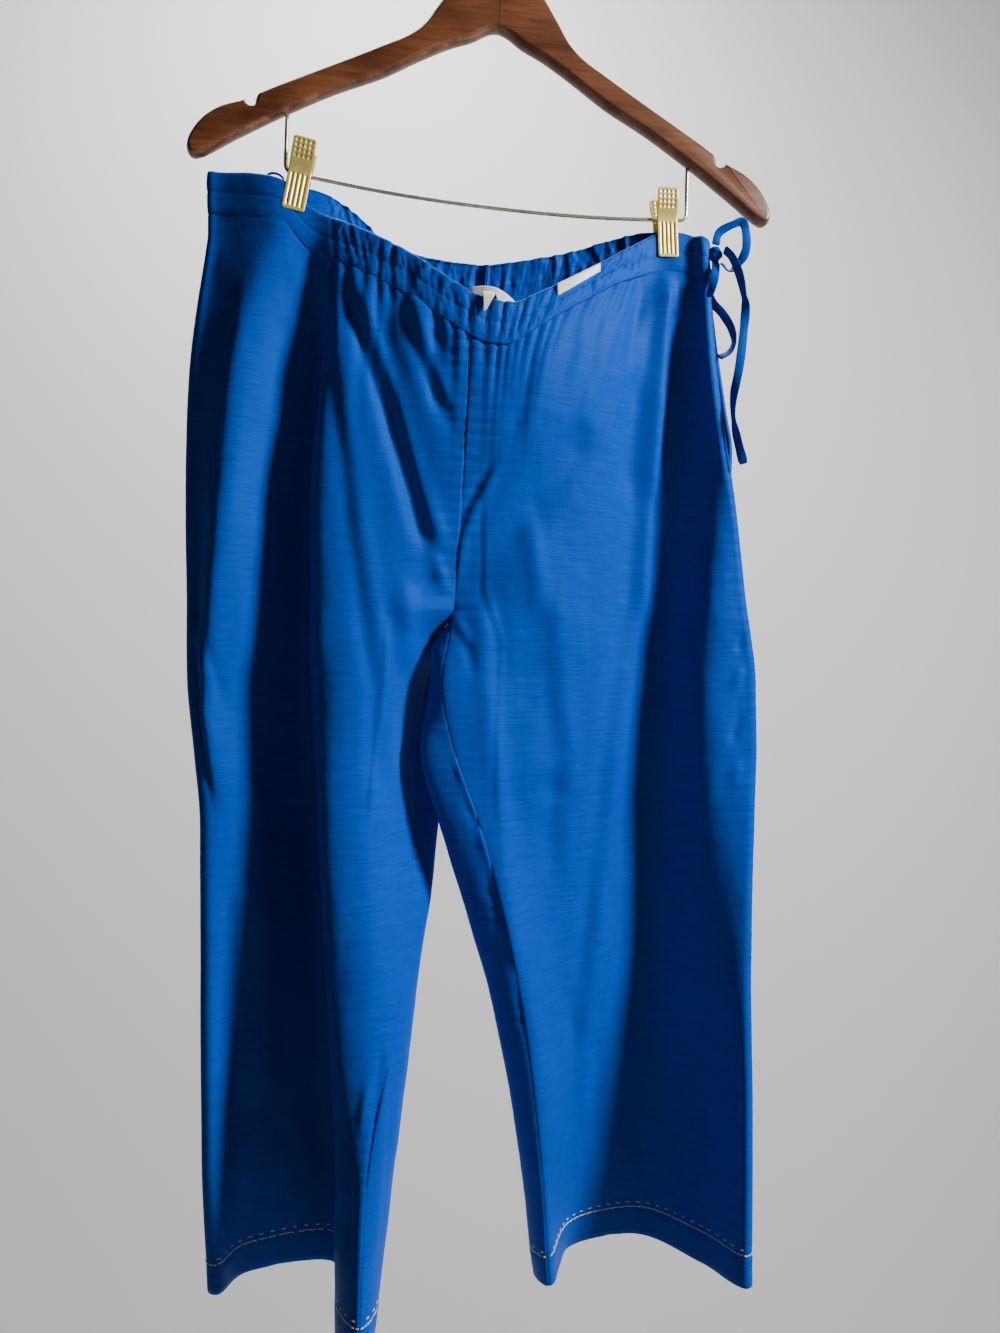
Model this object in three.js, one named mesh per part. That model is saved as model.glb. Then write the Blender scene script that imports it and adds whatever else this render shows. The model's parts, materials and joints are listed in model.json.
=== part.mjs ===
// Palazzo pants on a wooden clip hanger: four cut panels and their turned-down casings, a drawstring,
// a hanging loop, three blank labels, and the hanger with its hook, trouser bar and two clips.
// Millimetres, +Z up, front towards -Y. The origin is the inside top of the hook, where a rail holds it.
// "Right" and "left" are the wearer's: the right leg is at -X.
import * as THREE from "three";
import { mergeVertices } from "three/addons/utils/BufferGeometryUtils.js";

// ---------------------------------------------------------------- driving sizes
const panelWall = 1.2; // one layer of cloth and its seam allowances
const casingWall = 1.8; // the top turned down over the drawstring
const casingHeight = 30;
const seamGap = 0.42; // between pieces sewn to each other
const casingGap = 1.1; // under the casing, whose edge curves more finely than the panel's
const waistZ = -306; // the plan is the same from here up, where the jaws press it flat
const crotchZ = -585;
const crotchFootZ = -602; // where front and back meet again under the crossing of the four seams
const crotchBlend = 30; // above and below the crotch, over which the panels turn to their new neighbours
const hemZ = { right: -1078, left: -1092 };
// Roundness where front turns into back at the side: tight at the waist, open further down.
const sideFold = { top: { reach: 5, half: 3.4, z: waistZ }, low: { reach: 7, half: 7, z: -380 } };
const slitEnd = -484; // foot of the opening in the left side
const hangerTilt = THREE.MathUtils.degToRad(2); // the left arm hangs lower

// ---------------------------------------------------------------- sections of the cloth
// A row is one level of the leg. Each pair is [x, y] of the outer face, in plan.
// Front, from the side seam in: the outer swell, the valley, the ridge, the thigh, the centre or inseam.
const frontSections = {
  right: [
    { z: waistZ, side: [-221, 20], outer: [-172, -2.3], valley: [-146, -2.6], ridge: [-130, -8], thigh: [-87, -26], seam: [-33, -40] },
    { z: -400, side: [-234, 22], outer: [-201, -6], valley: [-143, 12], ridge: [-135, -14], thigh: [-91, -27], seam: [-35, -38] },
    { z: -520, side: [-237, 18], outer: [-211, -8], valley: [-152, 22], ridge: [-144, -18], thigh: [-95, -23], seam: [-40, -20] },
    { z: crotchZ, side: [-236, 15], outer: [-217, -6], valley: [-152, 25], ridge: [-143, -20], thigh: [-99, -24], seam: [-44, -9] },
    { z: crotchFootZ, side: [-236, 14], outer: [-218, -5], valley: [-152, 26], ridge: [-143, -21], thigh: [-100, -25], seam: [-55, 4] },
    { z: -640, side: [-235, 12], outer: [-222, -4], valley: [-151, 28], ridge: [-142, -22], thigh: [-103, -26], seam: [-63, 18] },
    { z: -690, side: [-230, 8], outer: [-218, -4], valley: [-149, 32], ridge: [-141, -24], thigh: [-107, -24], seam: [-70, 17] },
    { z: -740, side: [-226, 6], outer: [-208, 2], valley: [-147, 37], ridge: [-140, -27], thigh: [-110, -28], seam: [-72, 10] },
    { z: -860, side: [-226, 6], outer: [-204, 10], valley: [-140, 42], ridge: [-135, -34], thigh: [-112, -40], seam: [-88, -27] },
    { z: -980, side: [-226, 12], outer: [-202, 26], valley: [-135, 46], ridge: [-132, -42], thigh: [-124, -58], seam: [-114, -66] },
    { z: -1078, side: [-223, 22], outer: [-200, 38], valley: [-133, 40], ridge: [-133, -52], thigh: [-131, -68], seam: [-121, -86] },
  ],
  left: [
    { z: waistZ, side: [161, -6], outer: [150, -2.8], valley: [136, -2.6], ridge: [118, -2.6], thigh: [60, -27], seam: [-33, -40] },
    { z: -400, side: [165, -10], outer: [156, -9], valley: [138, 8], ridge: [86, -14], thigh: [21, -38], seam: [-35, -38] },
    { z: -520, side: [184, -4], outer: [166, -9], valley: [127, 20], ridge: [71, -6], thigh: [12, -22], seam: [-40, -20] },
    { z: crotchZ, side: [191, -3], outer: [160, -9], valley: [127, 23], ridge: [67, -2], thigh: [9, -16], seam: [-44, -9] },
    { z: crotchFootZ, side: [193, -3], outer: [158, -8], valley: [126, 24], ridge: [66, -1], thigh: [8, -14], seam: [-47.5, -14] },
    { z: -640, side: [197, -2], outer: [155, -8], valley: [126, 26], ridge: [64, 2], thigh: [6, -10], seam: [-54, -17] },
    { z: -690, side: [197, -2], outer: [154, -6], valley: [124, 28], ridge: [64, 6], thigh: [10, -10], seam: [-45, -17] },
    { z: -740, side: [194, -4], outer: [155, -2], valley: [123, 33], ridge: [66, 12], thigh: [14, -4], seam: [-28, -17] },
    { z: -860, side: [186, -12], outer: [156, 4], valley: [122, 40], ridge: [75, 23], thigh: [39, 8], seam: [1, -16] },
    { z: -980, side: [182, -20], outer: [157, 14], valley: [125, 48], ridge: [80, 42], thigh: [47, 24], seam: [17, -12] },
    { z: -1092, side: [176, -28], outer: [150, 4], valley: [118, 52], ridge: [86, 57], thigh: [52, 46], seam: [26, 0] },
  ],
};
// Back, from the side seam in: hip, seat, calf, the inner edge of the leg, the centre or inseam.
const backSections = {
  right: [
    { z: waistZ, hip: [-172, 3], seat: [-144, 3], calf: [-92, 16], wrap: [-50, 23], seam: [-10, 25] },
    { z: -400, hip: [-195, 46], seat: [-140, 50], calf: [-92, 50], wrap: [-55, 46], seam: [-15, 43] },
    { z: -520, hip: [-205, 58], seat: [-148, 72], calf: [-97, 70], wrap: [-62, 62], seam: [-28, 52] },
    { z: -550, hip: [-205, 59], seat: [-150, 74], calf: [-101, 69], wrap: [-66, 54], seam: [-35, 34] },
    { z: crotchZ, hip: [-205, 60], seat: [-151, 76], calf: [-104, 68], wrap: [-60, 44], seam: [-44, -2] },
    { z: crotchFootZ, hip: [-204, 60], seat: [-152, 76], calf: [-105, 67], wrap: [-46, 40], seam: [-55, 4] },
    { z: -640, hip: [-204, 60], seat: [-153, 78], calf: [-107, 66], wrap: [-48, 38], seam: [-63, 18] },
    { z: -690, hip: [-204, 60], seat: [-156, 79], calf: [-106, 62], wrap: [-50, 36], seam: [-70, 17] },
    { z: -740, hip: [-202, 62], seat: [-160, 80], calf: [-106, 60], wrap: [-51, 26], seam: [-72, 10] },
    { z: -860, hip: [-198, 64], seat: [-158, 84], calf: [-104, 54], wrap: [-73, -4], seam: [-88, -27] },
    { z: -980, hip: [-198, 66], seat: [-158, 88], calf: [-109, 52], wrap: [-93, -36], seam: [-114, -66] },
    { z: -1078, hip: [-203, 72], seat: [-160, 92], calf: [-114, 46], wrap: [-111, -64], seam: [-121, -86] },
  ],
  left: [
    { z: waistZ, hip: [144, 3], seat: [118, 3], calf: [76, 17], wrap: [32, 23], seam: [-10, 25] },
    { z: -400, hip: [160, 38], seat: [112, 54], calf: [60, 51], wrap: [20, 47], seam: [-15, 43] },
    { z: -520, hip: [172, 50], seat: [114, 72], calf: [56, 70], wrap: [8, 62], seam: [-28, 52] },
    { z: -550, hip: [174, 52], seat: [116, 76], calf: [55, 71], wrap: [2, 54], seam: [-35, 34] },
    { z: crotchZ, hip: [176, 54], seat: [118, 80], calf: [54, 71], wrap: [-10, 40], seam: [-44, -2] },
    { z: crotchFootZ, hip: [177, 55], seat: [118, 80], calf: [53, 71], wrap: [-50, 2], seam: [-47.5, -14] },
    { z: -640, hip: [178, 56], seat: [120, 82], calf: [50, 70], wrap: [-58, -1], seam: [-54, -17] },
    { z: -690, hip: [178, 56], seat: [120, 84], calf: [46, 66], wrap: [-68, -9], seam: [-45, -17] },
    { z: -740, hip: [177, 56], seat: [122, 84], calf: [50, 64], wrap: [-56, -6], seam: [-28, -17] },
    { z: -860, hip: [174, 54], seat: [125, 84], calf: [60, 66], wrap: [-19, 2], seam: [1, -16] },
    { z: -980, hip: [171, 50], seat: [128, 88], calf: [72, 76], wrap: [3, 6], seam: [17, -12] },
    { z: -1092, hip: [169, 44], seat: [130, 94], calf: [76, 92], wrap: [19.5, 19], seam: [26, 0] },
  ],
};
// Top edges of the casings: height over the width, as they sag between the clips.
const waistline = {
  front: [
    { x: -221, z: -258 },
    { x: -180, z: -266 },
    { x: -164, z: -272 },
    { x: -148, z: -288 },
    { x: -114, z: -306 },
    { x: -75, z: -330 },
    { x: -41, z: -354 },
    { x: -24, z: -362 },
    { x: -4, z: -364 },
    { x: 14, z: -356 },
    { x: 67, z: -324 },
    { x: 104, z: -298 },
    { x: 122, z: -287 },
    { x: 141, z: -285 },
    { x: 162, z: -292 },
  ],
  back: [
    { x: -221, z: -258 },
    { x: -180, z: -266 },
    { x: -164, z: -272 },
    { x: -143, z: -273 },
    { x: -125, z: -278 },
    { x: -110, z: -287 },
    { x: -94, z: -299 },
    { x: -76, z: -306 },
    { x: -48, z: -309 },
    { x: -18, z: -310 },
    { x: 7, z: -307 },
    { x: 46, z: -299 },
    { x: 102, z: -285 },
    { x: 124, z: -284 },
    { x: 141, z: -284 },
    { x: 166, z: -291 },
  ],
};
// The back edge of the left side opening stands this far outside and behind the front edge.
const slit = [
  { z: -290, out: 4, behind: 9 },
  { z: -343, out: 7, behind: 12 },
  { z: -400, out: 11, behind: 14 },
  { z: -440, out: 12, behind: 13 },
  { z: slitEnd, out: 0, behind: 0 },
];
// Drag folds of the front panels, from the gathers towards the crotch; depth is into the body.
const dragFolds = [
  { side: "right", fromX: -103, fromZ: -362, toX: -58, toZ: -545, width: 11, depth: 5 },
  { side: "right", fromX: -66, fromZ: -368, toX: -42, toZ: -480, width: 9, depth: 3.5 },
  { side: "left", fromX: 62, fromZ: -440, toX: -20, toZ: -560, width: 16, depth: 5 },
];
// Gathers on the drawstring: pitch, height of the waves, and the stretch that has them.
const gathers = {
  front: { pitch: 11.5, height: 1.7, fromX: -140, toX: 162, unevenness: 1.3 },
  back: { pitch: 12.5, height: 1.9, fromX: -140, toX: 166, unevenness: 1.1 },
};
const clipSpans = [
  { fromX: -172, toX: -142 },
  { fromX: 117, toX: 145 },
];

// ---------------------------------------------------------------- materials
const clothBlue = new THREE.MeshStandardMaterial({ color: 0x0a4fb0, roughness: 0.45 });
const labelWhite = new THREE.MeshStandardMaterial({ color: 0xf1efe8, roughness: 0.5 });
const wood = new THREE.MeshStandardMaterial({ color: 0x7a3415, roughness: 0.35 });
const steel = new THREE.MeshStandardMaterial({ color: 0xb8b2a8, roughness: 0.3, metalness: 1 });
const brass = new THREE.MeshStandardMaterial({ color: 0xd9b84c, roughness: 0.3, metalness: 1 });

// ---------------------------------------------------------------- helpers
const smooth = (t) => {
  const c = THREE.MathUtils.clamp(t, 0, 1);
  return c * c * (3 - 2 * c);
};

// A cubic through (keys[i], values[i]); keys fall or rise. Slopes are the mean of the two sides.
function through(keys, values, key) {
  const sign = Math.sign(keys[keys.length - 1] - keys[0]);
  const last = keys.length - 1;
  if ((key - keys[0]) * sign <= 0) return values[0];
  if ((key - keys[last]) * sign >= 0) return values[last];
  let i = 0;
  while ((key - keys[i + 1]) * sign > 0) i++;
  const secant = (k) => (values[k + 1] - values[k]) / (keys[k + 1] - keys[k]);
  const slope = (k) => {
    if (k === 0) return secant(0);
    if (k === last) return secant(last - 1);
    return secant(k) * secant(k - 1) <= 0 ? 0 : (secant(k) + secant(k - 1)) / 2;
  };
  const span = keys[i + 1] - keys[i];
  const t = (key - keys[i]) / span;
  const [t2, t3] = [t * t, t * t * t];
  return (
    (2 * t3 - 3 * t2 + 1) * values[i] +
    (t3 - 2 * t2 + t) * span * slope(i) +
    (3 * t2 - 2 * t3) * values[i + 1] +
    (t3 - t2) * span * slope(i + 1)
  );
}

// The point of one column of a section table at a height. Seam columns turn sharply at the crotch.
function columnAt(table, column, z) {
  const [high, low] =
    z >= crotchZ ? [0, crotchZ] : z >= crotchFootZ ? [crotchZ, crotchFootZ] : [crotchFootZ, -Infinity];
  const rows = column === "seam" ? table.filter((row) => row.z <= high && row.z >= low) : table;
  const keys = rows.map((row) => row.z);
  const axis = (k) => through(keys, rows.map((row) => row[column][k]), z);
  return new THREE.Vector2(axis(0), axis(1));
}

// Centripetal Catmull-Rom point between b and c.
function between(a, b, c, d, t) {
  const knot = (p, q) => Math.max(Math.sqrt(p.distanceTo(q)), 1e-3);
  const t1 = knot(a, b);
  const t2 = t1 + knot(b, c);
  const t3 = t2 + knot(c, d);
  const s = t1 + (t2 - t1) * t;
  const mix = (p, q, from, to) => p.clone().lerp(q, (s - from) / (to - from));
  const ab = mix(a, b, 0, t1);
  const bc = mix(b, c, t1, t2);
  const cd = mix(c, d, t2, t3);
  return mix(mix(ab, bc, 0, t2), mix(bc, cd, t1, t3), t1, t2);
}

const otherSide = { right: "left", left: "right" };
const panelColumns = {
  front: ["outer", "valley", "ridge", "thigh", "seam"],
  back: ["hip", "seat", "calf", "wrap", "seam"],
};
const panelTables = { front: frontSections, back: backSections };
const otherFace = { front: "back", back: "front" };

function slitOffset(side, face, z) {
  if (side === "right" || face === "front") return new THREE.Vector2();
  const keys = slit.map((row) => row.z);
  const axis = (name) => through(keys, slit.map((row) => row[name]), z);
  return new THREE.Vector2(axis("out"), axis("behind"));
}

function sideRound(z) {
  const { top, low } = sideFold;
  const t = smooth((z - top.z) / (low.z - top.z));
  return { reach: THREE.MathUtils.lerp(top.reach, low.reach, t), half: THREE.MathUtils.lerp(top.half, low.half, t) };
}

// The control points of one panel's plan curve at a height, with one neighbour past each end.
function planPoints(face, side, z) {
  const table = panelTables[face][side];
  const points = panelColumns[face].map((column) => columnAt(table, column, z));
  const edge = columnAt(frontSections[side], "side", z).add(slitOffset(side, face, z));
  const inward = side === "right" ? 1 : -1;
  const outwards = face === "front" ? -1 : 1;
  const { reach, half } = sideRound(z);
  const fold = (turn) => edge.clone().add(new THREE.Vector2(inward * reach, turn * half));
  // Past the centre seam lies the other leg's panel; below the crotch, this leg's other panel.
  const above = columnAt(panelTables[face][otherSide[side]], face === "front" ? "thigh" : "wrap", z);
  const below = columnAt(panelTables[otherFace[face]][side], face === "front" ? "wrap" : "thigh", z);
  const beyond = above.lerp(below, smooth((crotchZ + crotchBlend - z) / (2 * crotchBlend)));
  const lead = edge.clone().add(new THREE.Vector2(-inward * reach, outwards * half));
  return { edge, inward, outwards, curve: [lead, fold(outwards), ...points, beyond] };
}

// Plan point at a place along the curve: whole numbers are the control points from the side edge,
// and the first stretch is a quarter round.
function planAt(face, side, place, z) {
  const { edge, inward, outwards, curve } = planPoints(face, side, z);
  if (place < 1) {
    const turn = (place * Math.PI) / 2;
    const { reach, half } = sideRound(z);
    const step = new THREE.Vector2(inward * reach * (1 - Math.cos(turn)), outwards * half * Math.sin(turn));
    return edge.clone().add(step);
  }
  const i = Math.min(Math.floor(place) - 1, curve.length - 4);
  return between(curve[i], curve[i + 1], curve[i + 2], curve[i + 3], place - 1 - i);
}

function dragDepth(side, x, z) {
  let depth = 0;
  for (const fold of dragFolds) {
    if (fold.side !== side) continue;
    const [dx, dz] = [fold.toX - fold.fromX, fold.toZ - fold.fromZ];
    const length = Math.hypot(dx, dz);
    const along = ((x - fold.fromX) * dx + (z - fold.fromZ) * dz) / length;
    const off = ((x - fold.fromX) * dz - (z - fold.fromZ) * dx) / length;
    const ends = smooth(along / 30) * smooth((length - along) / 60);
    depth += fold.depth * ends * Math.exp(-((off / fold.width) ** 2));
  }
  return depth;
}

function gatherHeight(face, x) {
  const g = gathers[face];
  const inside = smooth((x - g.fromX) / 14) * smooth((g.toX + 4 - x) / 8);
  const pinched = clipSpans.some((span) => x > span.fromX && x < span.toX) ? 0 : 1;
  const near = Math.min(...clipSpans.map((s) => Math.max(s.fromX - x, x - s.toX, 0)));
  return g.height * inside * pinched * smooth(near / 12);
}

function gatherWave(face, x) {
  const g = gathers[face];
  const turns = x / g.pitch + g.unevenness * 0.3 * Math.sin(x / 19) + 0.2 * Math.sin(x / 7.3);
  return gatherHeight(face, x) * Math.sin(2 * Math.PI * turns);
}

function topAt(face, x) {
  const line = waistline[face];
  return through(line.map((row) => row.x), line.map((row) => row.z), x);
}

// Top edge at a place across: the height where the line of the waist meets that place.
function topOf(face, side, place) {
  let z = waistZ;
  for (let tries = 0; tries < 6; tries++) z = topAt(face, planAt(face, side, place, z).x);
  return z;
}

function waveAt(face, side, place) {
  return gatherWave(face, planAt(face, side, place, topOf(face, side, place)).x);
}

// Outer face of a panel at a place across and a height, with its outward direction.
function clothPoint(face, side, place, z) {
  const plan = planAt(face, side, place, z);
  const drag = face === "front" ? dragDepth(side, plan.x, z) : 0;
  return new THREE.Vector3(plan.x, plan.y + drag, z);
}

function clothNormal(face, side, place, z) {
  const step = 0.02;
  const last = panelColumns[face].length + 1;
  const [p0, p1] = [Math.max(place - step, 0), Math.min(place + step, last)];
  const across = clothPoint(face, side, p1, z).sub(clothPoint(face, side, p0, z));
  const up = clothPoint(face, side, place, z + 2).sub(clothPoint(face, side, place, z - 2));
  const turn = (side === "right") === (face === "front") ? 1 : -1;
  return across.cross(up).multiplyScalar(turn).normalize();
}

// A closed wall from a grid of outer points and their directions; the inner face lies a wall deeper.
function wallMesh(name, grid, thickness, material) {
  const rows = grid.length;
  const columns = grid[0].length;
  const inner = ({ point, normal }) => point.clone().addScaledVector(normal, -thickness);
  const points = [
    ...grid.flat().map(({ point }) => point),
    ...grid.flat().map(inner),
  ];
  const index = [];
  const offset = rows * columns;
  const quad = (a, b, c, d) => index.push(a, b, c, a, c, d);
  const at = (j, i) => j * columns + i;
  for (let j = 0; j < rows - 1; j++)
    for (let i = 0; i < columns - 1; i++) {
      quad(at(j, i), at(j, i + 1), at(j + 1, i + 1), at(j + 1, i));
      quad(offset + at(j, i), offset + at(j + 1, i), offset + at(j + 1, i + 1), offset + at(j, i + 1));
    }
  const rim = [];
  for (let i = 0; i < columns - 1; i++) rim.push(at(0, i));
  for (let j = 0; j < rows - 1; j++) rim.push(at(j, columns - 1));
  for (let i = columns - 1; i > 0; i--) rim.push(at(rows - 1, i));
  for (let j = rows - 1; j > 0; j--) rim.push(at(j, 0));
  rim.forEach((a, k) => {
    const b = rim[(k + 1) % rim.length];
    quad(a, offset + a, offset + b, b);
  });
  return meshOf(name, points, index, material);
}

// Faces are turned outwards by the sign of the volume they enclose.
function meshOf(name, points, index, material) {
  let volume = 0;
  for (let k = 0; k < index.length; k += 3) {
    const [a, b, c] = [points[index[k]], points[index[k + 1]], points[index[k + 2]]];
    volume += a.dot(b.clone().cross(c));
  }
  const turned = [];
  for (let k = 0; k < index.length; k += 3) {
    if (volume > 0) turned.push(index[k], index[k + 1], index[k + 2]);
    else turned.push(index[k], index[k + 2], index[k + 1]);
  }
  const geometry = new THREE.BufferGeometry();
  geometry.setAttribute("position", new THREE.Float32BufferAttribute(points.flatMap((p) => p.toArray()), 3));
  geometry.setIndex(turned);
  geometry.computeVertexNormals();
  const mesh = new THREE.Mesh(geometry, material);
  mesh.name = name;
  return mesh;
}

// Places across a panel: each stretch between control points in equal steps, short of both seams.
function placesAcross(face, side, steps, z) {
  const places = [];
  steps.forEach((count, k) => {
    for (let i = 0; i < count; i++) places.push(k + i / count);
  });
  places.push(steps.length);
  const trim = (place, step) => {
    const distance = planAt(face, side, place, z).distanceTo(planAt(face, side, place + step, z));
    return place + (step * seamGap) / 2 / distance;
  };
  places[0] = trim(0, 0.05);
  places[places.length - 1] = trim(steps.length, -0.05);
  return places;
}

// ---------------------------------------------------------------- panels and casings
const panelSteps = { front: [2, 3, 4, 3, 4, 6], back: [2, 3, 3, 4, 4, 4] };
const rowsAbove = 10;
const rowsBelow = 12;
const rowsCrowding = 1.35; // the rows below the crotch lie closer together near it

function panel(face, side) {
  const grid = [];
  const columns = panelSteps[face].reduce((a, b) => a + b) + 1;
  for (let j = 0; j <= rowsAbove + rowsBelow; j++) {
    const row = [];
    for (let i = 0; i < columns; i++) {
      const heightAt = (place) => {
        const top = topOf(face, side, place) - casingHeight - casingGap;
        if (j <= rowsAbove) return THREE.MathUtils.lerp(top, crotchZ, j / rowsAbove);
        return THREE.MathUtils.lerp(crotchZ, hemZ[side], ((j - rowsAbove) / rowsBelow) ** rowsCrowding);
      };
      const rough = placesAcross(face, side, panelSteps[face], crotchZ)[i];
      const z = heightAt(rough);
      const place = placesAcross(face, side, panelSteps[face], z)[i];
      row.push({ point: clothPoint(face, side, place, z), normal: clothNormal(face, side, place, z) });
    }
    grid.push(row);
  }
  return wallMesh(`${face}_${side}`, grid, panelWall, clothBlue);
}

const casingRows = [
  { down: 0, swell: 0.9 },
  { down: 11, swell: 1.1 },
  { down: 22, swell: 0.8 },
  { down: casingHeight, swell: 0.25 },
];
const casingSteps = {
  "front right": [2, 6, 4, 6, 16, 20],
  "front left": [2, 6, 3, 4, 22, 30],
  "back right": [2, 6, 3, 18, 14, 13],
  "back left": [2, 6, 3, 14, 14, 14],
};

function casing(face, side) {
  const steps = casingSteps[`${face} ${side}`];
  const grid = casingRows.map(({ down, swell }) =>
    placesAcross(face, side, steps, waistZ).map((place) => {
      const z = topOf(face, side, place) - down;
      const normal = clothNormal(face, side, place, z);
      const point = clothPoint(face, side, place, z);
      point.addScaledVector(normal, swell * waveAt(face, side, place));
      return { point, normal };
    }),
  );
  return wallMesh(`casing_${face}_${side}`, grid, casingWall, clothBlue);
}

const pants = new THREE.Group();
for (const side of ["right", "left"])
  for (const face of ["front", "back"]) pants.add(panel(face, side), casing(face, side));

// ---------------------------------------------------------------- swept pieces
// Merges vertices so that the geometry is one closed surface with positions alone.
function closed(geometry) {
  geometry.deleteAttribute("uv");
  geometry.deleteAttribute("normal");
  const merged = mergeVertices(geometry, 1e-3);
  merged.computeVertexNormals();
  return merged;
}

function roundTube(name, curve, diameter, sides, steps, material) {
  const section = new THREE.Shape();
  section.absarc(0, 0, diameter / 2, 0, 2 * Math.PI);
  const options = { steps, curveSegments: sides / 2, bevelEnabled: false, extrudePath: curve };
  const mesh = new THREE.Mesh(closed(new THREE.ExtrudeGeometry(section, options)), material);
  mesh.name = name;
  return mesh;
}

// A flat tape along a route: each route point gives the turn of the tape's width about its run.
// At turn 0 the width lies along X, or along Z where the run itself is sideways.
function tape(name, route, width, thickness, stepsPerPoint, material) {
  const curve = new THREE.CatmullRomCurve3(route.map(({ at }) => new THREE.Vector3(...at)), false, "centripetal");
  const count = (route.length - 1) * stepsPerPoint;
  const turns = route.map(({ turn }) => THREE.MathUtils.degToRad(turn));
  const keys = route.map((_, k) => k);
  const corners = [];
  for (let side = 0; side < 8; side++) {
    const angle = ((side + 0.5) / 8) * 2 * Math.PI;
    corners.push([(Math.cos(angle) * width) / 2, (Math.sin(angle) * thickness) / 2]);
  }
  const points = [];
  const viewY = new THREE.Vector3(0, 1, 0);
  for (let k = 0; k <= count; k++) {
    const t = k / count;
    const centre = curve.getPoint(t);
    const run = curve.getTangent(t);
    const broad = run.clone().cross(viewY).normalize();
    const turn = through(keys, turns, t * (route.length - 1));
    const across = broad.clone().applyAxisAngle(run, turn);
    const through2 = run.clone().cross(across);
    for (const [a, b] of corners)
      points.push(centre.clone().addScaledVector(across, a).addScaledVector(through2, b));
  }
  const index = [];
  for (let k = 0; k < count; k++)
    for (let c = 0; c < 8; c++) {
      const [a, b] = [k * 8 + c, k * 8 + ((c + 1) % 8)];
      index.push(a, b, b + 8, a, b + 8, a + 8);
    }
  for (let c = 1; c < 7; c++) {
    index.push(0, c + 1, c);
    index.push(count * 8, count * 8 + c, count * 8 + c + 1);
  }
  return meshOf(name, points, index, material);
}

// ---------------------------------------------------------------- drawstring
const tapeWidth = 7;
const tapeThickness = 1.6;
// The routes of the tied drawstring at the left side, each point with the turn of the tape.
const knot = { at: [166.9, -9, -302], radii: [5, 4.5, 6.5] };
const loopUpper = [
  { at: [167, -9, -294.6], turn: 0 },
  { at: [169, -11, -286], turn: 20 },
  { at: [179, -14, -280], turn: 50 },
  { at: [187, -15, -277.5], turn: 30 },
  { at: [190, -15, -286], turn: 0 },
  { at: [189.5, -15, -300], turn: 10 },
  { at: [185, -14, -309], turn: 40 },
  { at: [178, -10, -315], turn: 60 },
  { at: [172.5, -7, -308], turn: 40 },
];
const tail = [
  { at: [172.3, -14, -300], turn: 70 },
  { at: [175.5, -20, -308], turn: 70 },
  { at: [180, -23, -322], turn: 50 },
  { at: [184, -23, -340], turn: 80 },
  { at: [185, -23, -347], turn: 40 },
  { at: [183.5, -22, -368], turn: 0 },
  { at: [180, -21, -395], turn: 10 },
  { at: [175.5, -20, -418], turn: 60 },
  { at: [175, -20, -434], turn: 90 },
  { at: [177.5, -20, -448], turn: 50 },
  { at: [183, -20, -470], turn: 20 },
];
const loopLower = [
  { at: [164.8, 2.3, -309], turn: 20 },
  { at: [164.5, 3, -322], turn: 20 },
  { at: [167, 0, -336], turn: 40 },
  { at: [175, -2, -346], turn: 30 },
  { at: [182, -3, -358], turn: 60 },
  { at: [184, -3, -369], turn: 80 },
  { at: [180, -2, -377], turn: 60 },
  { at: [172, -1, -381], turn: 40 },
];
const shortEnd = [
  { at: [166.5, -10.5, -308.9], turn: 0 },
  { at: [163.5, -16, -319], turn: 0 },
  { at: [160.5, -18, -330], turn: 30 },
  { at: [157.5, -18, -340], turn: 60 },
];
const strings = { loopUpper, tail, loopLower, shortEnd };
const nodeOf = { loopUpper: "string_loop_upper", tail: "string_tail", loopLower: "string_loop_lower", shortEnd: "string_short_end" };
const drawstring = new THREE.Group();
for (const [key, route] of Object.entries(strings))
  drawstring.add(tape(nodeOf[key], route, tapeWidth, tapeThickness, 3, clothBlue));
const knotMesh = new THREE.Mesh(closed(new THREE.SphereGeometry(1, 12, 8).scale(...knot.radii)), clothBlue);
knotMesh.name = "string_knot";
knotMesh.position.set(...knot.at);
drawstring.add(knotMesh);

// ---------------------------------------------------------------- labels and hanging loop
const touching = 0.5; // between a label and the cloth that it lies on
const labelSheet = 0.8;
const brandLabel = { fromX: -32, toX: 15, topZ: -331, height: 27, bulge: 11 };
const careLabel = { fromX: 30, toX: 66, inside: 14, outsideFrom: 8.5, outsideTo: 5.5 };
// From under the brand label forwards over the front edge of the waist, narrowing to its folded tip.
const sizeTab = [
  { x: -9.5, y: 19.5, z: -349, width: 11 },
  { x: -18, y: -30, z: -356.5, width: 10 },
  { x: -21, y: -39.5, z: -357.2, width: 9.5 },
  { x: -22, y: -44.6, z: -361, width: 9 },
  { x: -25, y: -45, z: -373, width: 1.2 },
];
const hangingLoop = [
  { at: [-178, 3.6, -266.2], turn: 90 },
  { at: [-177, 3.6, -263], turn: 90 },
  { at: [-172, 3.6, -262], turn: 90 },
  { at: [-167, 3.6, -264.5], turn: 90 },
  { at: [-165.4, 3.6, -270.3], turn: 90 },
];

// The outer face of the cloth near the waist at an x and a height.
function clothAt(face, x, z) {
  const side = x < columnAt(panelTables[face].right, "seam", z).x ? "right" : "left";
  let [low, high] = [1, panelColumns[face].length + 1];
  for (let halvings = 0; halvings < 30; halvings++) {
    const middle = (low + high) / 2;
    if (planAt(face, side, middle, z).x > x === (side === "right")) high = middle;
    else low = middle;
  }
  const wave = waveAt(face, side, low);
  return { point: clothPoint(face, side, low, z), normal: clothNormal(face, side, low, z), wave };
}

function swellAt(down) {
  return through(casingRows.map((row) => row.down), casingRows.map((row) => row.swell), down);
}

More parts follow.
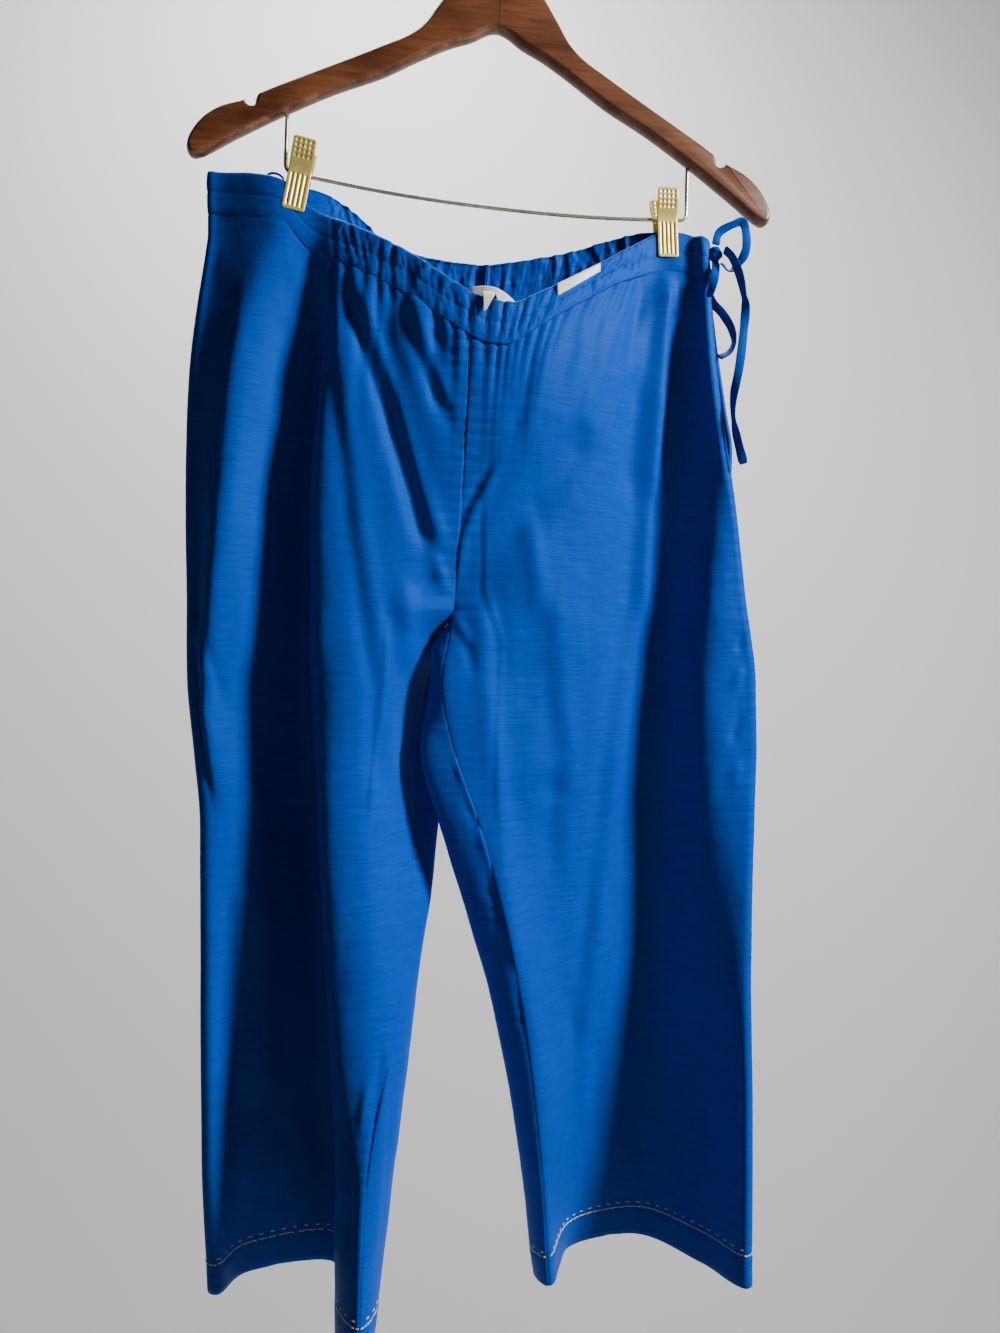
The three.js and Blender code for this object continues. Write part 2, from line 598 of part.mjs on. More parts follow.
// Face of the brand label towards the back casing: held to it at both ends, bowed forwards between.
function brandLabelAt(across, z) {
  const { fromX, toX, bulge } = brandLabel;
  const x = THREE.MathUtils.lerp(fromX, toX, (across + 1) / 2);
  const { point, normal, wave } = clothAt("back", x, z);
  const followed = Math.abs(across) * swellAt(topAt("back", x) - z) * wave;
  point.addScaledVector(normal, followed - casingWall - touching);
  point.y -= bulge * (1 - across ** 2);
  return { point, normal };
}

function brandLabelMesh() {
  const { topZ, height } = brandLabel;
  const grid = [];
  for (let j = 0; j <= 3; j++) {
    const row = [];
    for (let i = 0; i <= 12; i++) {
      const across = -1 + i / 6;
      const bow = 5 * (1 - across ** 2) - 3 * (across + 1);
      row.push(brandLabelAt(across, topZ + bow * (1 - j / 3) - (height * j) / 3));
    }
    grid.push(row);
  }
  return wallMesh("brand_label", grid, labelSheet, labelWhite);
}

// A strip whose width lies along X; its route runs from the label to the tip.
function strip(name, route, thickness, material) {
  const centre = ({ x, y, z }) => new THREE.Vector3(x, y, z);
  const grid = route.map((row, k) => {
    const [before, after] = [route[Math.max(k - 1, 0)], route[Math.min(k + 1, route.length - 1)]];
    const run = centre(after).sub(centre(before));
    const normal = run.cross(new THREE.Vector3(1, 0, 0)).normalize();
    return [-0.5, 0.5].map((edge) => ({
      point: centre(row).add(new THREE.Vector3(edge * row.width, 0, 0)),
      normal,
    }));
  });
  return wallMesh(name, grid, thickness, material);
}

// The care label folds over the top edge of the front casing and rests on its gathers.
function careLabelMesh() {
  const { fromX, toX, inside, outsideFrom, outsideTo } = careLabel;
  const clear = gathers.front.height * swellAt(casingRows[1].down) + touching;
  const far = clear + labelSheet;
  const grid = [];
  for (let i = 0; i <= 6; i++) {
    const x = THREE.MathUtils.lerp(fromX, toX, i / 6);
    const top = topAt("front", x);
    const outside = THREE.MathUtils.lerp(outsideFrom, outsideTo, i / 6);
    const at = (down, off, direction) => {
      const { point, normal } = clothAt("front", x, top - down);
      point.addScaledVector(normal, off);
      return { point, normal: normal.multiplyScalar(direction) };
    };
    const corner = (off, direction) => {
      const { point, normal } = at(0, off, direction);
      point.z += touching + labelSheet;
      return { point, normal: normal.add(new THREE.Vector3(0, 0, 1)).normalize() };
    };
    grid.push([
      at(inside, -casingWall - far, -1),
      at(inside / 2, -casingWall - far, -1),
      corner(-casingWall - far, -1),
      corner(far, 1),
      at(outside / 2, far, 1),
      at(outside, far, 1),
    ]);
  }
  return wallMesh("care_label", grid, labelSheet, labelWhite);
}

const labels = new THREE.Group();
labels.add(brandLabelMesh(), careLabelMesh(), strip("size_tab", sizeTab, labelSheet, labelWhite));
labels.add(tape("hanging_loop", hangingLoop, 3, 1.2, 3, clothBlue));

// ---------------------------------------------------------------- hanger
const armHalf = 6.5; // half the thickness of the wood
const armRound = 3;
// Outline of the left-hand half of the wood, from the neck outwards and back along the underside.
const armOutline = [
  [0.2, -86], [9, -87], [17, -91], [26, -99.5], [34, -108], [41, -118], [48, -129], [57, -143],
  [68, -153], [86, -163.5], [112, -178], [147, -197], [172, -211], [177, -214.5], [179, -222.5],
  [182, -223], [186, -219.5], [202, -226], [214, -235], [222, -246], [225.5, -256], [224, -263],
  [219, -265], [190, -246.5], [160, -227], [121, -204], [86, -186.5], [58, -169], [35, -156],
  [19, -149], [8, -142], [0.2, -139],
];
const wireDiameter = 3;
const barHalfSpan = 155.5;
const barZ = -268;
const barSag = 8;
const barTop = -225.7; // where its ends enter the wood
const hookDiameter = 4;
const hookRadius = 26;

function arm(name, mirror) {
  const outline = new THREE.Shape(armOutline.map(([x, z]) => new THREE.Vector2(x, z)));
  const bevel = { bevelEnabled: true, bevelThickness: armRound, bevelSize: armRound, bevelOffset: -armRound, bevelSegments: 2 };
  const depth = 2 * (armHalf - armRound);
  const geometry = new THREE.ExtrudeGeometry(outline, { depth, steps: 1, ...bevel });
  const points = geometry.getAttribute("position");
  const kept = [];
  for (let k = 0; k < points.count; k++) {
    const x = Math.max(points.getX(k), armOutline[0][0]);
    kept.push(new THREE.Vector3(mirror * x, points.getZ(k) - depth / 2, points.getY(k)));
  }
  const index = [...kept.keys()];
  const mesh = meshOf(name, kept, index, wood);
  mesh.geometry = closed(mesh.geometry);
  return mesh;
}

function hook() {
  const points = [];
  const centre = hookDiameter / 2 - hookRadius;
  const arcSteps = 12;
  const [fromTurn, toTurn] = [200, -50].map((t) => THREE.MathUtils.degToRad(t));
  for (let k = 0; k <= arcSteps; k++) {
    const turn = fromTurn + ((toTurn - fromTurn) * k) / arcSteps;
    points.push(new THREE.Vector3(hookRadius * Math.cos(turn), 0, centre + hookRadius * Math.sin(turn)));
  }
  points.push(new THREE.Vector3(4, 0, centre - hookRadius - 3));
  points.push(new THREE.Vector3(0, 0, centre - hookRadius - 12));
  points.push(new THREE.Vector3(0, 0, armOutline[0][1] + 0.3));
  const curve = new THREE.CatmullRomCurve3(points, false, "centripetal");
  return roundTube("hanger_hook", curve, hookDiameter, 8, 34, steel);
}

function trouserBar() {
  const corner = 6;
  const half = barHalfSpan;
  const points = [];
  const add = (x, z) => points.push(new THREE.Vector3(x, 0, z));
  add(-half, barTop);
  add(-half, (barTop + barZ) / 2);
  for (const turn of [0, 22, 45, 68, 90]) {
    const t = THREE.MathUtils.degToRad(turn);
    add(-half + corner * (1 - Math.cos(t)), barZ + corner * (1 - Math.sin(t)));
  }
  add(-half / 2, barZ - barSag * 0.75);
  add(0, barZ - barSag);
  add(half / 2, barZ - barSag * 0.75);
  for (const turn of [90, 68, 45, 22, 0]) {
    const t = THREE.MathUtils.degToRad(turn);
    add(half - corner * (1 - Math.cos(t)), barZ + corner * (1 - Math.sin(t)));
  }
  add(half, (barTop + barZ) / 2);
  add(half, barTop);
  const curve = new THREE.CatmullRomCurve3(points, false, "centripetal");
  return roundTube("trouser_bar", curve, wireDiameter, 8, 44, steel);
}

// ---------------------------------------------------------------- clips
const clipWidth = 17;
const jawSheet = 1.2;
// Side view of a jaw: how far its inner face stands from the middle, over the height above the bar.
const jawProfile = [
  [3.5, -25.5],
  [3.4, -22],
  [3.4, -13],
  [3.9, -4],
  [3.9, 5],
  [8.6, 18],
  [9.6, 26.5],
];
const springRadius = 3.5;
const springLength = 7;
// Each clip hangs where the bar has this drop and slope; the jaws stand lower than the coil by the lift.
const clips = [
  { name: "clip_right", along: -145, drop: 0.52, slope: 6.3, tilt: 11, lift: -3.2 },
  { name: "clip_left", along: 138, drop: 1.23, slope: -5.4, tilt: -2, lift: -5.5 },
];

function jaw(name, sign) {
  const outer = [...jawProfile].reverse().map(([y, z]) => [y + jawSheet, z]);
  const shape = new THREE.Shape([...jawProfile, ...outer].map(([y, z]) => new THREE.Vector2(sign * y, z)));
  const geometry = new THREE.ExtrudeGeometry(shape, { depth: clipWidth, bevelEnabled: false });
  geometry.translate(0, 0, -clipWidth / 2);
  // The profile's plane becomes YZ and the depth runs along X.
  geometry.applyMatrix4(new THREE.Matrix4().set(0, 0, 1, 0, 1, 0, 0, 0, 0, 1, 0, 0, 0, 0, 0, 1));
  const mesh = new THREE.Mesh(closed(geometry), brass);
  mesh.name = name;
  return mesh;
}

function spring(name) {
  const bore = wireDiameter / 2 + 0.5;
  const half = springLength / 2;
  const profile = [
    [bore, -half],
    [springRadius, -half],
    [springRadius, half],
    [bore, half],
    [bore, -half],
  ].map(([r, y]) => new THREE.Vector2(r, y));
  const geometry = new THREE.LatheGeometry(profile, 14);
  geometry.rotateZ(Math.PI / 2);
  const mesh = new THREE.Mesh(closed(geometry), steel);
  mesh.name = name;
  return mesh;
}

const hanger = new THREE.Group();
hanger.rotation.y = hangerTilt;
hanger.add(arm("hanger_arm_right", -1), arm("hanger_arm_left", 1), hook(), trouserBar());
for (const { name, along, drop, slope, tilt, lift } of clips) {
  const clip = new THREE.Group();
  clip.position.set(along, 0, barZ - drop);
  clip.rotation.y = THREE.MathUtils.degToRad(tilt) - hangerTilt;
  const jaws = new THREE.Group();
  jaws.position.z = lift;
  jaws.add(jaw(`${name}_front_jaw`, -1), jaw(`${name}_back_jaw`, 1));
  clip.add(jaws);
  const coil = spring(`${name}_spring`);
  coil.rotation.y = THREE.MathUtils.degToRad(slope) - clip.rotation.y;
  clip.add(coil);
  hanger.add(clip);
}

const model = new THREE.Group();
model.add(pants, drawstring, labels, hanger);
export default model;
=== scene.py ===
"""Palazzo pants on a wooden clip hanger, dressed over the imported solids.

Sizes are in millimetres in the row frame, and become metres where a mesh is made.
The cloth follows the same sections as the solids, with finer folds of its own.
"""

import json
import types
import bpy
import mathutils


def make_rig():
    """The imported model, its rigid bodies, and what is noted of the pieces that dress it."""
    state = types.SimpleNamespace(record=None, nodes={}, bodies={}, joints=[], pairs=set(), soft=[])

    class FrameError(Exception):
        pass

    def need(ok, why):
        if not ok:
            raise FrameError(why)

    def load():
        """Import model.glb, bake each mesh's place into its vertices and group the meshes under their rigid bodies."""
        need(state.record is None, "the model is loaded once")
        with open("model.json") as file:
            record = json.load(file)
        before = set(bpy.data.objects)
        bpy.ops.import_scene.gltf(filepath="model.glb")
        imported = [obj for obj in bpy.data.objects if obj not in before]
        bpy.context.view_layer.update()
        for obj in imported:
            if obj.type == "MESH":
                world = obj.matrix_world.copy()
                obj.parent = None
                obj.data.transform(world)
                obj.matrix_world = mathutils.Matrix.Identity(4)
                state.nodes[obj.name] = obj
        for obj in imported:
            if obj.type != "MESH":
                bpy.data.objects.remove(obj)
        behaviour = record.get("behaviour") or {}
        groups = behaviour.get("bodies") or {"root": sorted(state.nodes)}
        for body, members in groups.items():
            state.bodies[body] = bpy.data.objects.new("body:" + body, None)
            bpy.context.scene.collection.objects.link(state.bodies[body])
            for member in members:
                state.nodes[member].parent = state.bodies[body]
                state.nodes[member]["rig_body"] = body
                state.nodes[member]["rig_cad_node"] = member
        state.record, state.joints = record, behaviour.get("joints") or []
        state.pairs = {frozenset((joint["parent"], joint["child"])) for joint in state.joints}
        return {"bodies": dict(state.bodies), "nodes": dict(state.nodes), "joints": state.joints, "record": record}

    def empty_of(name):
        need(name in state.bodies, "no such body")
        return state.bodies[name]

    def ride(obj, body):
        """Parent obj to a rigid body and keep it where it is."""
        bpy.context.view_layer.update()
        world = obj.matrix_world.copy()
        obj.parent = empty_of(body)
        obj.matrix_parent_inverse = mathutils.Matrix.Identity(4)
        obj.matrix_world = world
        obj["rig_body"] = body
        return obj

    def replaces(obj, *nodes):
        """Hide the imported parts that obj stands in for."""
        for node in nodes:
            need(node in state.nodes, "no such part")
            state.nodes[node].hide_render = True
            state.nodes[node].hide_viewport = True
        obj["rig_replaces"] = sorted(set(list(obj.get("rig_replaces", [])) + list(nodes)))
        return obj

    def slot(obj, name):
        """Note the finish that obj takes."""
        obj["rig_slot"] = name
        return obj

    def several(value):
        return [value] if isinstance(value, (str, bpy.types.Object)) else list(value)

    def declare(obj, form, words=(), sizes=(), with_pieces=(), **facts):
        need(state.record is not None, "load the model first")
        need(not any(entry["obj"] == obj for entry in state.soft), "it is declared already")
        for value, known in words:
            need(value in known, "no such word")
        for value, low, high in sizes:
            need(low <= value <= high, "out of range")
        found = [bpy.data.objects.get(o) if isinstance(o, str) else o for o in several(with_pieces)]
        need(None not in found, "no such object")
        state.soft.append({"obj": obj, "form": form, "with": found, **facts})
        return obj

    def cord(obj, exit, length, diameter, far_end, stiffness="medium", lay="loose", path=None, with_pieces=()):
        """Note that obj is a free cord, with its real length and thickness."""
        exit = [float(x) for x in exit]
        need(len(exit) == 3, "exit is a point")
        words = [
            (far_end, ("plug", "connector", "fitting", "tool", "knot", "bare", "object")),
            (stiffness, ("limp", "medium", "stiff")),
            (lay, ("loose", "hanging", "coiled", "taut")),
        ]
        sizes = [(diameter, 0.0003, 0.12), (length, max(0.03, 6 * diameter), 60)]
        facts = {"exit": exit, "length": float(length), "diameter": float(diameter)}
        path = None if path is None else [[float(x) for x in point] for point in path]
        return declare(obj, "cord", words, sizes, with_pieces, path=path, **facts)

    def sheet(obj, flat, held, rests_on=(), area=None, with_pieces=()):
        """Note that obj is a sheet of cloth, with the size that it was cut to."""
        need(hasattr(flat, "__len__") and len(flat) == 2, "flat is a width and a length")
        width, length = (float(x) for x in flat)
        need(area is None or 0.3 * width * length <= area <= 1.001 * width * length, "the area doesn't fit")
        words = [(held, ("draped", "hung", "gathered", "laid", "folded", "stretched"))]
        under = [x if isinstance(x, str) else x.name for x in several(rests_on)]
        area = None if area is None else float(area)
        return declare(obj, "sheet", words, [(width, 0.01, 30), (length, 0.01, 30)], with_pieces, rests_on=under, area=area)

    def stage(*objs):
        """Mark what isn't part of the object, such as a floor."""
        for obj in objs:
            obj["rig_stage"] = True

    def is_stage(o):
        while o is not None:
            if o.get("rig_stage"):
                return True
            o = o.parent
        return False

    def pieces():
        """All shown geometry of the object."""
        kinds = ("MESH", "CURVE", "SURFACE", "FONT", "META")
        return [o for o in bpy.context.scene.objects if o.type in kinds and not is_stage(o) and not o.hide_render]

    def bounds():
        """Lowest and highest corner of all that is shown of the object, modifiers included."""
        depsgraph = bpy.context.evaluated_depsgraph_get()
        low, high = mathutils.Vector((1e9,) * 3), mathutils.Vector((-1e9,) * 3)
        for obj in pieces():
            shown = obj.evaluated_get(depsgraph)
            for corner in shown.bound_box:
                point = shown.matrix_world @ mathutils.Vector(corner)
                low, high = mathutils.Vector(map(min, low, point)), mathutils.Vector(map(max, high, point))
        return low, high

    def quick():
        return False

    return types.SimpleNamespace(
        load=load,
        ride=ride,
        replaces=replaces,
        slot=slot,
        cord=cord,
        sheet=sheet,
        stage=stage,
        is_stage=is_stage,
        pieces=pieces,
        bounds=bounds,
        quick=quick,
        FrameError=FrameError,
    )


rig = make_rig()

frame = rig.load()
cad_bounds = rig.bounds()

import json
import math

import bpy
import numpy as np
from mathutils import Matrix

MM = 0.001
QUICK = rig.quick()

# ------------------------------------------------------------------ camera
CAMERA_AT = (-151.7, -743.0, -642.0)
CAMERA_YAW = math.radians(11)
CAMERA_PITCH = math.radians(1.2)
CAMERA_ROLL = math.radians(0.48)
FOCAL_OVER_LONG_SIDE = 1000 / 1333
SENSOR = 36.0


def make_camera():
    data = bpy.data.cameras.new("camera")
    data.sensor_width = SENSOR
    data.lens = SENSOR * FOCAL_OVER_LONG_SIDE
    camera = bpy.data.objects.new("camera", data)
    yaw, pitch, roll = CAMERA_YAW, CAMERA_PITCH, CAMERA_ROLL
    forward = np.array([math.sin(yaw) * math.cos(pitch), math.cos(yaw) * math.cos(pitch), math.sin(pitch)])
    level = np.array([math.cos(yaw), -math.sin(yaw), 0.0])
    down = np.cross(forward, level)
    right = math.cos(roll) * level + math.sin(roll) * down
    down = math.cos(roll) * down - math.sin(roll) * level
    axes = np.stack([right, -down, -forward], 1)
    camera.matrix_world = Matrix.Translation([c * MM for c in CAMERA_AT]) @ Matrix(axes.tolist()).to_4x4()
    bpy.context.scene.collection.objects.link(camera)
    bpy.context.scene.camera = camera


make_camera()

# ------------------------------------------------------------------ sections of the cloth, as in the solids
SHELL = 0.8  # one layer of cloth
CASING_SHELL = 1.4
CASING_HEIGHT = 30.0
SEAM_GAP = 0.12
WAIST_Z = -306.0
CROTCH_Z = -585.0
CROTCH_FOOT_Z = -602.0
CROTCH_BLEND = 30.0
HEM_Z = {"right": -1078.0, "left": -1092.0}
HEM_HEIGHT = 22.5
SIDE_TOP = {"reach": 5.0, "half": 3.4, "z": WAIST_Z}
SIDE_LOW = {"reach": 7.0, "half": 7.0, "z": -380.0}
SLIT_END = -484.0
HANGER_TILT = math.radians(2)

FRONT_COLUMNS = ("outer", "valley", "ridge", "thigh", "seam")
BACK_COLUMNS = ("hip", "seat", "calf", "wrap", "seam")
COLUMNS = {"front": FRONT_COLUMNS, "back": BACK_COLUMNS}


def rows_of(names, rows):
    return {name: np.array([row[k] for row in rows], float) for k, name in enumerate(names)}


SECTIONS = {
    ("front", "right"): rows_of(("z", "side") + FRONT_COLUMNS, [
        (WAIST_Z, (-221, 20), (-172, -2.3), (-146, -2.6), (-130, -8), (-87, -26), (-33, -40)),
        (-400, (-234, 22), (-201, -6), (-143, 12), (-135, -14), (-91, -27), (-35, -38)),
        (-520, (-237, 18), (-211, -8), (-152, 22), (-144, -18), (-95, -23), (-40, -20)),
        (CROTCH_Z, (-236, 15), (-217, -6), (-152, 25), (-143, -20), (-99, -24), (-44, -9)),
        (CROTCH_FOOT_Z, (-236, 14), (-218, -5), (-152, 26), (-143, -21), (-100, -25), (-55, 4)),
        (-640, (-235, 12), (-222, -4), (-151, 28), (-142, -22), (-103, -26), (-63, 18)),
        (-690, (-230, 8), (-218, -4), (-149, 32), (-141, -24), (-107, -24), (-70, 17)),
        (-740, (-226, 6), (-208, 2), (-147, 37), (-140, -27), (-110, -28), (-72, 10)),
        (-860, (-226, 6), (-204, 10), (-140, 42), (-135, -34), (-112, -40), (-88, -27)),
        (-980, (-226, 12), (-202, 26), (-135, 46), (-132, -42), (-124, -58), (-114, -66)),
        (-1078, (-223, 22), (-200, 38), (-133, 40), (-133, -52), (-131, -68), (-121, -86)),
    ]),
    ("front", "left"): rows_of(("z", "side") + FRONT_COLUMNS, [
        (WAIST_Z, (161, -6), (150, -2.8), (136, -2.6), (118, -2.6), (60, -27), (-33, -40)),
        (-400, (165, -10), (156, -9), (138, 8), (86, -14), (21, -38), (-35, -38)),
        (-520, (184, -4), (166, -9), (127, 20), (71, -6), (12, -22), (-40, -20)),
        (CROTCH_Z, (191, -3), (160, -9), (127, 23), (67, -2), (9, -16), (-44, -9)),
        (CROTCH_FOOT_Z, (193, -3), (158, -8), (126, 24), (66, -1), (8, -14), (-47.5, -14)),
        (-640, (197, -2), (155, -8), (126, 26), (64, 2), (6, -10), (-54, -17)),
        (-690, (197, -2), (154, -6), (124, 28), (64, 6), (10, -10), (-45, -17)),
        (-740, (194, -4), (155, -2), (123, 33), (66, 12), (14, -4), (-28, -17)),
        (-860, (186, -12), (156, 4), (122, 40), (75, 23), (39, 8), (1, -16)),
        (-980, (182, -20), (157, 14), (125, 48), (80, 42), (47, 24), (17, -12)),
        (-1092, (176, -28), (150, 4), (118, 52), (86, 57), (52, 46), (26, 0)),
    ]),
    ("back", "right"): rows_of(("z",) + BACK_COLUMNS, [
        (WAIST_Z, (-172, 3), (-144, 3), (-92, 16), (-50, 23), (-10, 25)),
        (-400, (-195, 46), (-140, 50), (-92, 50), (-55, 46), (-15, 43)),
        (-520, (-205, 58), (-148, 72), (-97, 70), (-62, 62), (-28, 52)),
        (-550, (-205, 59), (-150, 74), (-101, 69), (-66, 54), (-35, 34)),
        (CROTCH_Z, (-205, 60), (-151, 76), (-104, 68), (-60, 44), (-44, -2)),
        (CROTCH_FOOT_Z, (-204, 60), (-152, 76), (-105, 67), (-46, 40), (-55, 4)),
        (-640, (-204, 60), (-153, 78), (-107, 66), (-48, 38), (-63, 18)),
        (-690, (-204, 60), (-156, 79), (-106, 62), (-50, 36), (-70, 17)),
        (-740, (-202, 62), (-160, 80), (-106, 60), (-51, 26), (-72, 10)),
        (-860, (-198, 64), (-158, 84), (-104, 54), (-73, -4), (-88, -27)),
        (-980, (-198, 66), (-158, 88), (-109, 52), (-93, -36), (-114, -66)),
        (-1078, (-203, 72), (-160, 92), (-114, 46), (-111, -64), (-121, -86)),
    ]),
    ("back", "left"): rows_of(("z",) + BACK_COLUMNS, [
        (WAIST_Z, (144, 3), (118, 3), (76, 17), (32, 23), (-10, 25)),
        (-400, (160, 38), (112, 54), (60, 51), (20, 47), (-15, 43)),
        (-520, (172, 50), (114, 72), (56, 70), (8, 62), (-28, 52)),
        (-550, (174, 52), (116, 76), (55, 71), (2, 54), (-35, 34)),
        (CROTCH_Z, (176, 54), (118, 80), (54, 71), (-10, 40), (-44, -2)),
        (CROTCH_FOOT_Z, (177, 55), (118, 80), (53, 71), (-50, 2), (-47.5, -14)),
        (-640, (178, 56), (120, 82), (50, 70), (-58, -1), (-54, -17)),
        (-690, (178, 56), (120, 84), (46, 66), (-68, -9), (-45, -17)),
        (-740, (177, 56), (122, 84), (50, 64), (-56, -6), (-28, -17)),
        (-860, (174, 54), (125, 84), (60, 66), (-19, 2), (1, -16)),
        (-980, (171, 50), (128, 88), (72, 76), (3, 6), (17, -12)),
        (-1092, (169, 44), (130, 94), (76, 92), (19.5, 19), (26, 0)),
    ]),
}
WAISTLINE = {
    "front": rows_of(("x", "z"), [
        (-221, -258), (-180, -266), (-164, -272), (-148, -288), (-114, -306), (-75, -330), (-41, -354),
        (-24, -362), (-4, -364), (14, -356), (67, -324), (104, -298), (122, -287), (141, -285), (162, -292),
    ]),
    "back": rows_of(("x", "z"), [
        (-221, -258), (-180, -266), (-164, -272), (-143, -273), (-125, -278), (-110, -287),
        (-94, -299), (-76, -306), (-48, -309), (-18, -310), (7, -307), (46, -299), (102, -285),
        (124, -284), (141, -284), (166, -291),
    ]),
}
SLIT = rows_of(("z", "out", "behind"), [
    (-290, 4, 9), (-343, 7, 12), (-400, 11, 14), (-440, 12, 13), (SLIT_END, 0, 0),
])
DRAG_FOLDS = [
    {"side": "right", "start": (-103, -362), "end": (-58, -545), "width": 11, "depth": 5},
    {"side": "right", "start": (-66, -368), "end": (-42, -480), "width": 9, "depth": 3.5},
    {"side": "left", "start": (62, -440), "end": (-20, -560), "width": 16, "depth": 5},
]
GATHERS = {
    "front": {"pitch": 11.5, "height": 0.6, "from": -140, "to": 162, "unevenness": 1.3},
    "back": {"pitch": 12.5, "height": 0.8, "from": -140, "to": 166, "unevenness": 1.1},
}
CLIP_SPANS = [(-172, -142), (117, 145)]


# ------------------------------------------------------------------ helpers
def smooth(t):
    c = np.clip(t, 0, 1)
    return c * c * (3 - 2 * c)


def through(keys, values, at):
    """A cubic through values at keys, with mean slopes, as the solids have it."""
    if keys[-1] < keys[0]:
        keys, values = keys[::-1], values[::-1]
    secant = np.diff(values) / np.diff(keys)
    turning = secant[1:] * secant[:-1] <= 0
    inner = np.where(turning, 0, (secant[1:] + secant[:-1]) / 2)
    slope = np.concatenate([secant[:1], inner, secant[-1:]])
    at = np.clip(at, keys[0], keys[-1])
    i = np.clip(np.searchsorted(keys, at) - 1, 0, len(keys) - 2)
    span = keys[i + 1] - keys[i]
    t = (at - keys[i]) / span
    rise = (2 * t**3 - 3 * t**2 + 1) * values[i] + (3 * t**2 - 2 * t**3) * values[i + 1]
    return rise + span * ((t**3 - 2 * t**2 + t) * slope[i] + (t**3 - t**2) * slope[i + 1])


def column_at(face, side, column, z):
    """Plan point of one column at heights z. Seam columns turn sharply at the crotch."""
    table = SECTIONS[face, side]
    keys = table["z"]

    def run(rows):
        return np.stack([through(keys[rows], table[column][rows, k], z) for k in (0, 1)], -1)

    if column != "seam":
        return run(keys <= 0)
    high = run(keys >= CROTCH_Z)
    middle = run((keys <= CROTCH_Z) & (keys >= CROTCH_FOOT_Z))
    low = run(keys <= CROTCH_FOOT_Z)
    above, between_them = (z >= CROTCH_Z)[..., None], (z >= CROTCH_FOOT_Z)[..., None]
    return np.where(above, high, np.where(between_them, middle, low))


def between(a, b, c, d, t):
    """Centripetal Catmull-Rom points between b and c, for arrays of points."""
    def knot(p, q):
        return np.maximum(np.sqrt(np.linalg.norm(q - p, axis=-1, keepdims=True)), 1e-3)

    t1 = knot(a, b)
    t2 = t1 + knot(b, c)
    t3 = t2 + knot(c, d)
    s = t1 + (t2 - t1) * t[..., None]

    def mix(p, q, start, end):
        return p + (q - p) * (s - start) / (end - start)

    ab, bc, cd = mix(a, b, 0 * t1, t1), mix(b, c, t1, t2), mix(c, d, t2, t3)
    return mix(mix(ab, bc, 0 * t1, t2), mix(bc, cd, t1, t3), t1, t2)


def side_round(z):
    t = smooth((z - SIDE_TOP["z"]) / (SIDE_LOW["z"] - SIDE_TOP["z"]))
    reach = SIDE_TOP["reach"] + (SIDE_LOW["reach"] - SIDE_TOP["reach"]) * t
    half = SIDE_TOP["half"] + (SIDE_LOW["half"] - SIDE_TOP["half"]) * t
    return reach, half


OTHER_SIDE = {"right": "left", "left": "right"}
OTHER_FACE = {"front": "back", "back": "front"}
INWARD = {"right": 1, "left": -1}
OUTWARD = {"front": -1, "back": 1}


def side_edge(face, side, z):
    edge = column_at("front", side, "side", z)
    if side == "left" and face == "back":
        edge = edge + np.stack([through(SLIT["z"], SLIT[k], z) for k in ("out", "behind")], -1)
    return edge


def plan_at(face, side, place, z):
    """Plan points at places across a panel: whole numbers are its columns from the side in."""
    place, z = np.broadcast_arrays(np.asarray(place, float), np.asarray(z, float))
    edge = side_edge(face, side, z)
    reach, half = side_round(z)
    inward, outward = INWARD[side], OUTWARD[face]
    fold = edge + np.stack([inward * reach, outward * half], -1)
    lead = edge + np.stack([-inward * reach, outward * half], -1)
    upper = column_at(face, OTHER_SIDE[side], "thigh" if face == "front" else "wrap", z)
    lower = column_at(OTHER_FACE[face], side, "wrap" if face == "front" else "thigh", z)
    beyond = upper + (lower - upper) * smooth((CROTCH_Z + CROTCH_BLEND - z) / (2 * CROTCH_BLEND))[..., None]
    columns = [column_at(face, side, name, z) for name in COLUMNS[face]]
    curve = np.stack([lead, fold, *columns, beyond])
    i = np.clip(np.floor(place).astype(int) - 1, 0, len(curve) - 4)
    picked = [np.take_along_axis(curve, (i + k)[None, ..., None], 0)[0] for k in range(4)]
    turn = np.clip(place, 0, 1) * math.pi / 2
    quarter = edge + np.stack([inward * reach * (1 - np.cos(turn)), outward * half * np.sin(turn)], -1)
    return np.where((place < 1)[..., None], quarter, between(*picked, place - 1 - i))


def top_at(face, x):
    line = WAISTLINE[face]
    return through(line["x"], line["z"], x)


def top_of(face, side, place):
    z = np.full(np.shape(place), WAIST_Z)
    for _ in range(6):
        z = top_at(face, plan_at(face, side, place, z)[..., 0])
    return z


def free_of_clips(x):
    """From 0 under the jaws to 1 well away from them."""
    near = np.min([np.maximum(np.maximum(a - x, x - b), 0) for a, b in CLIP_SPANS], axis=0)
    return smooth(near / 12)


def gather_height(face, x):
    g = GATHERS[face]
    height = g["height"] * smooth((x - g["from"]) / 14) * smooth((g["to"] + 4 - x) / 8)
    return height * free_of_clips(x)


def gather_turns(face, x):
    g = GATHERS[face]
    return x / g["pitch"] + g["unevenness"] * 0.3 * np.sin(x / 19) + 0.2 * np.sin(x / 7.3)


def waist_x(face, side, place):
    return plan_at(face, side, place, top_of(face, side, place))[..., 0]


def noise_grid(seed):
    return np.random.RandomState(seed).rand(64, 64) * 2 - 1


NOISES = [noise_grid(seed) for seed in range(4)]


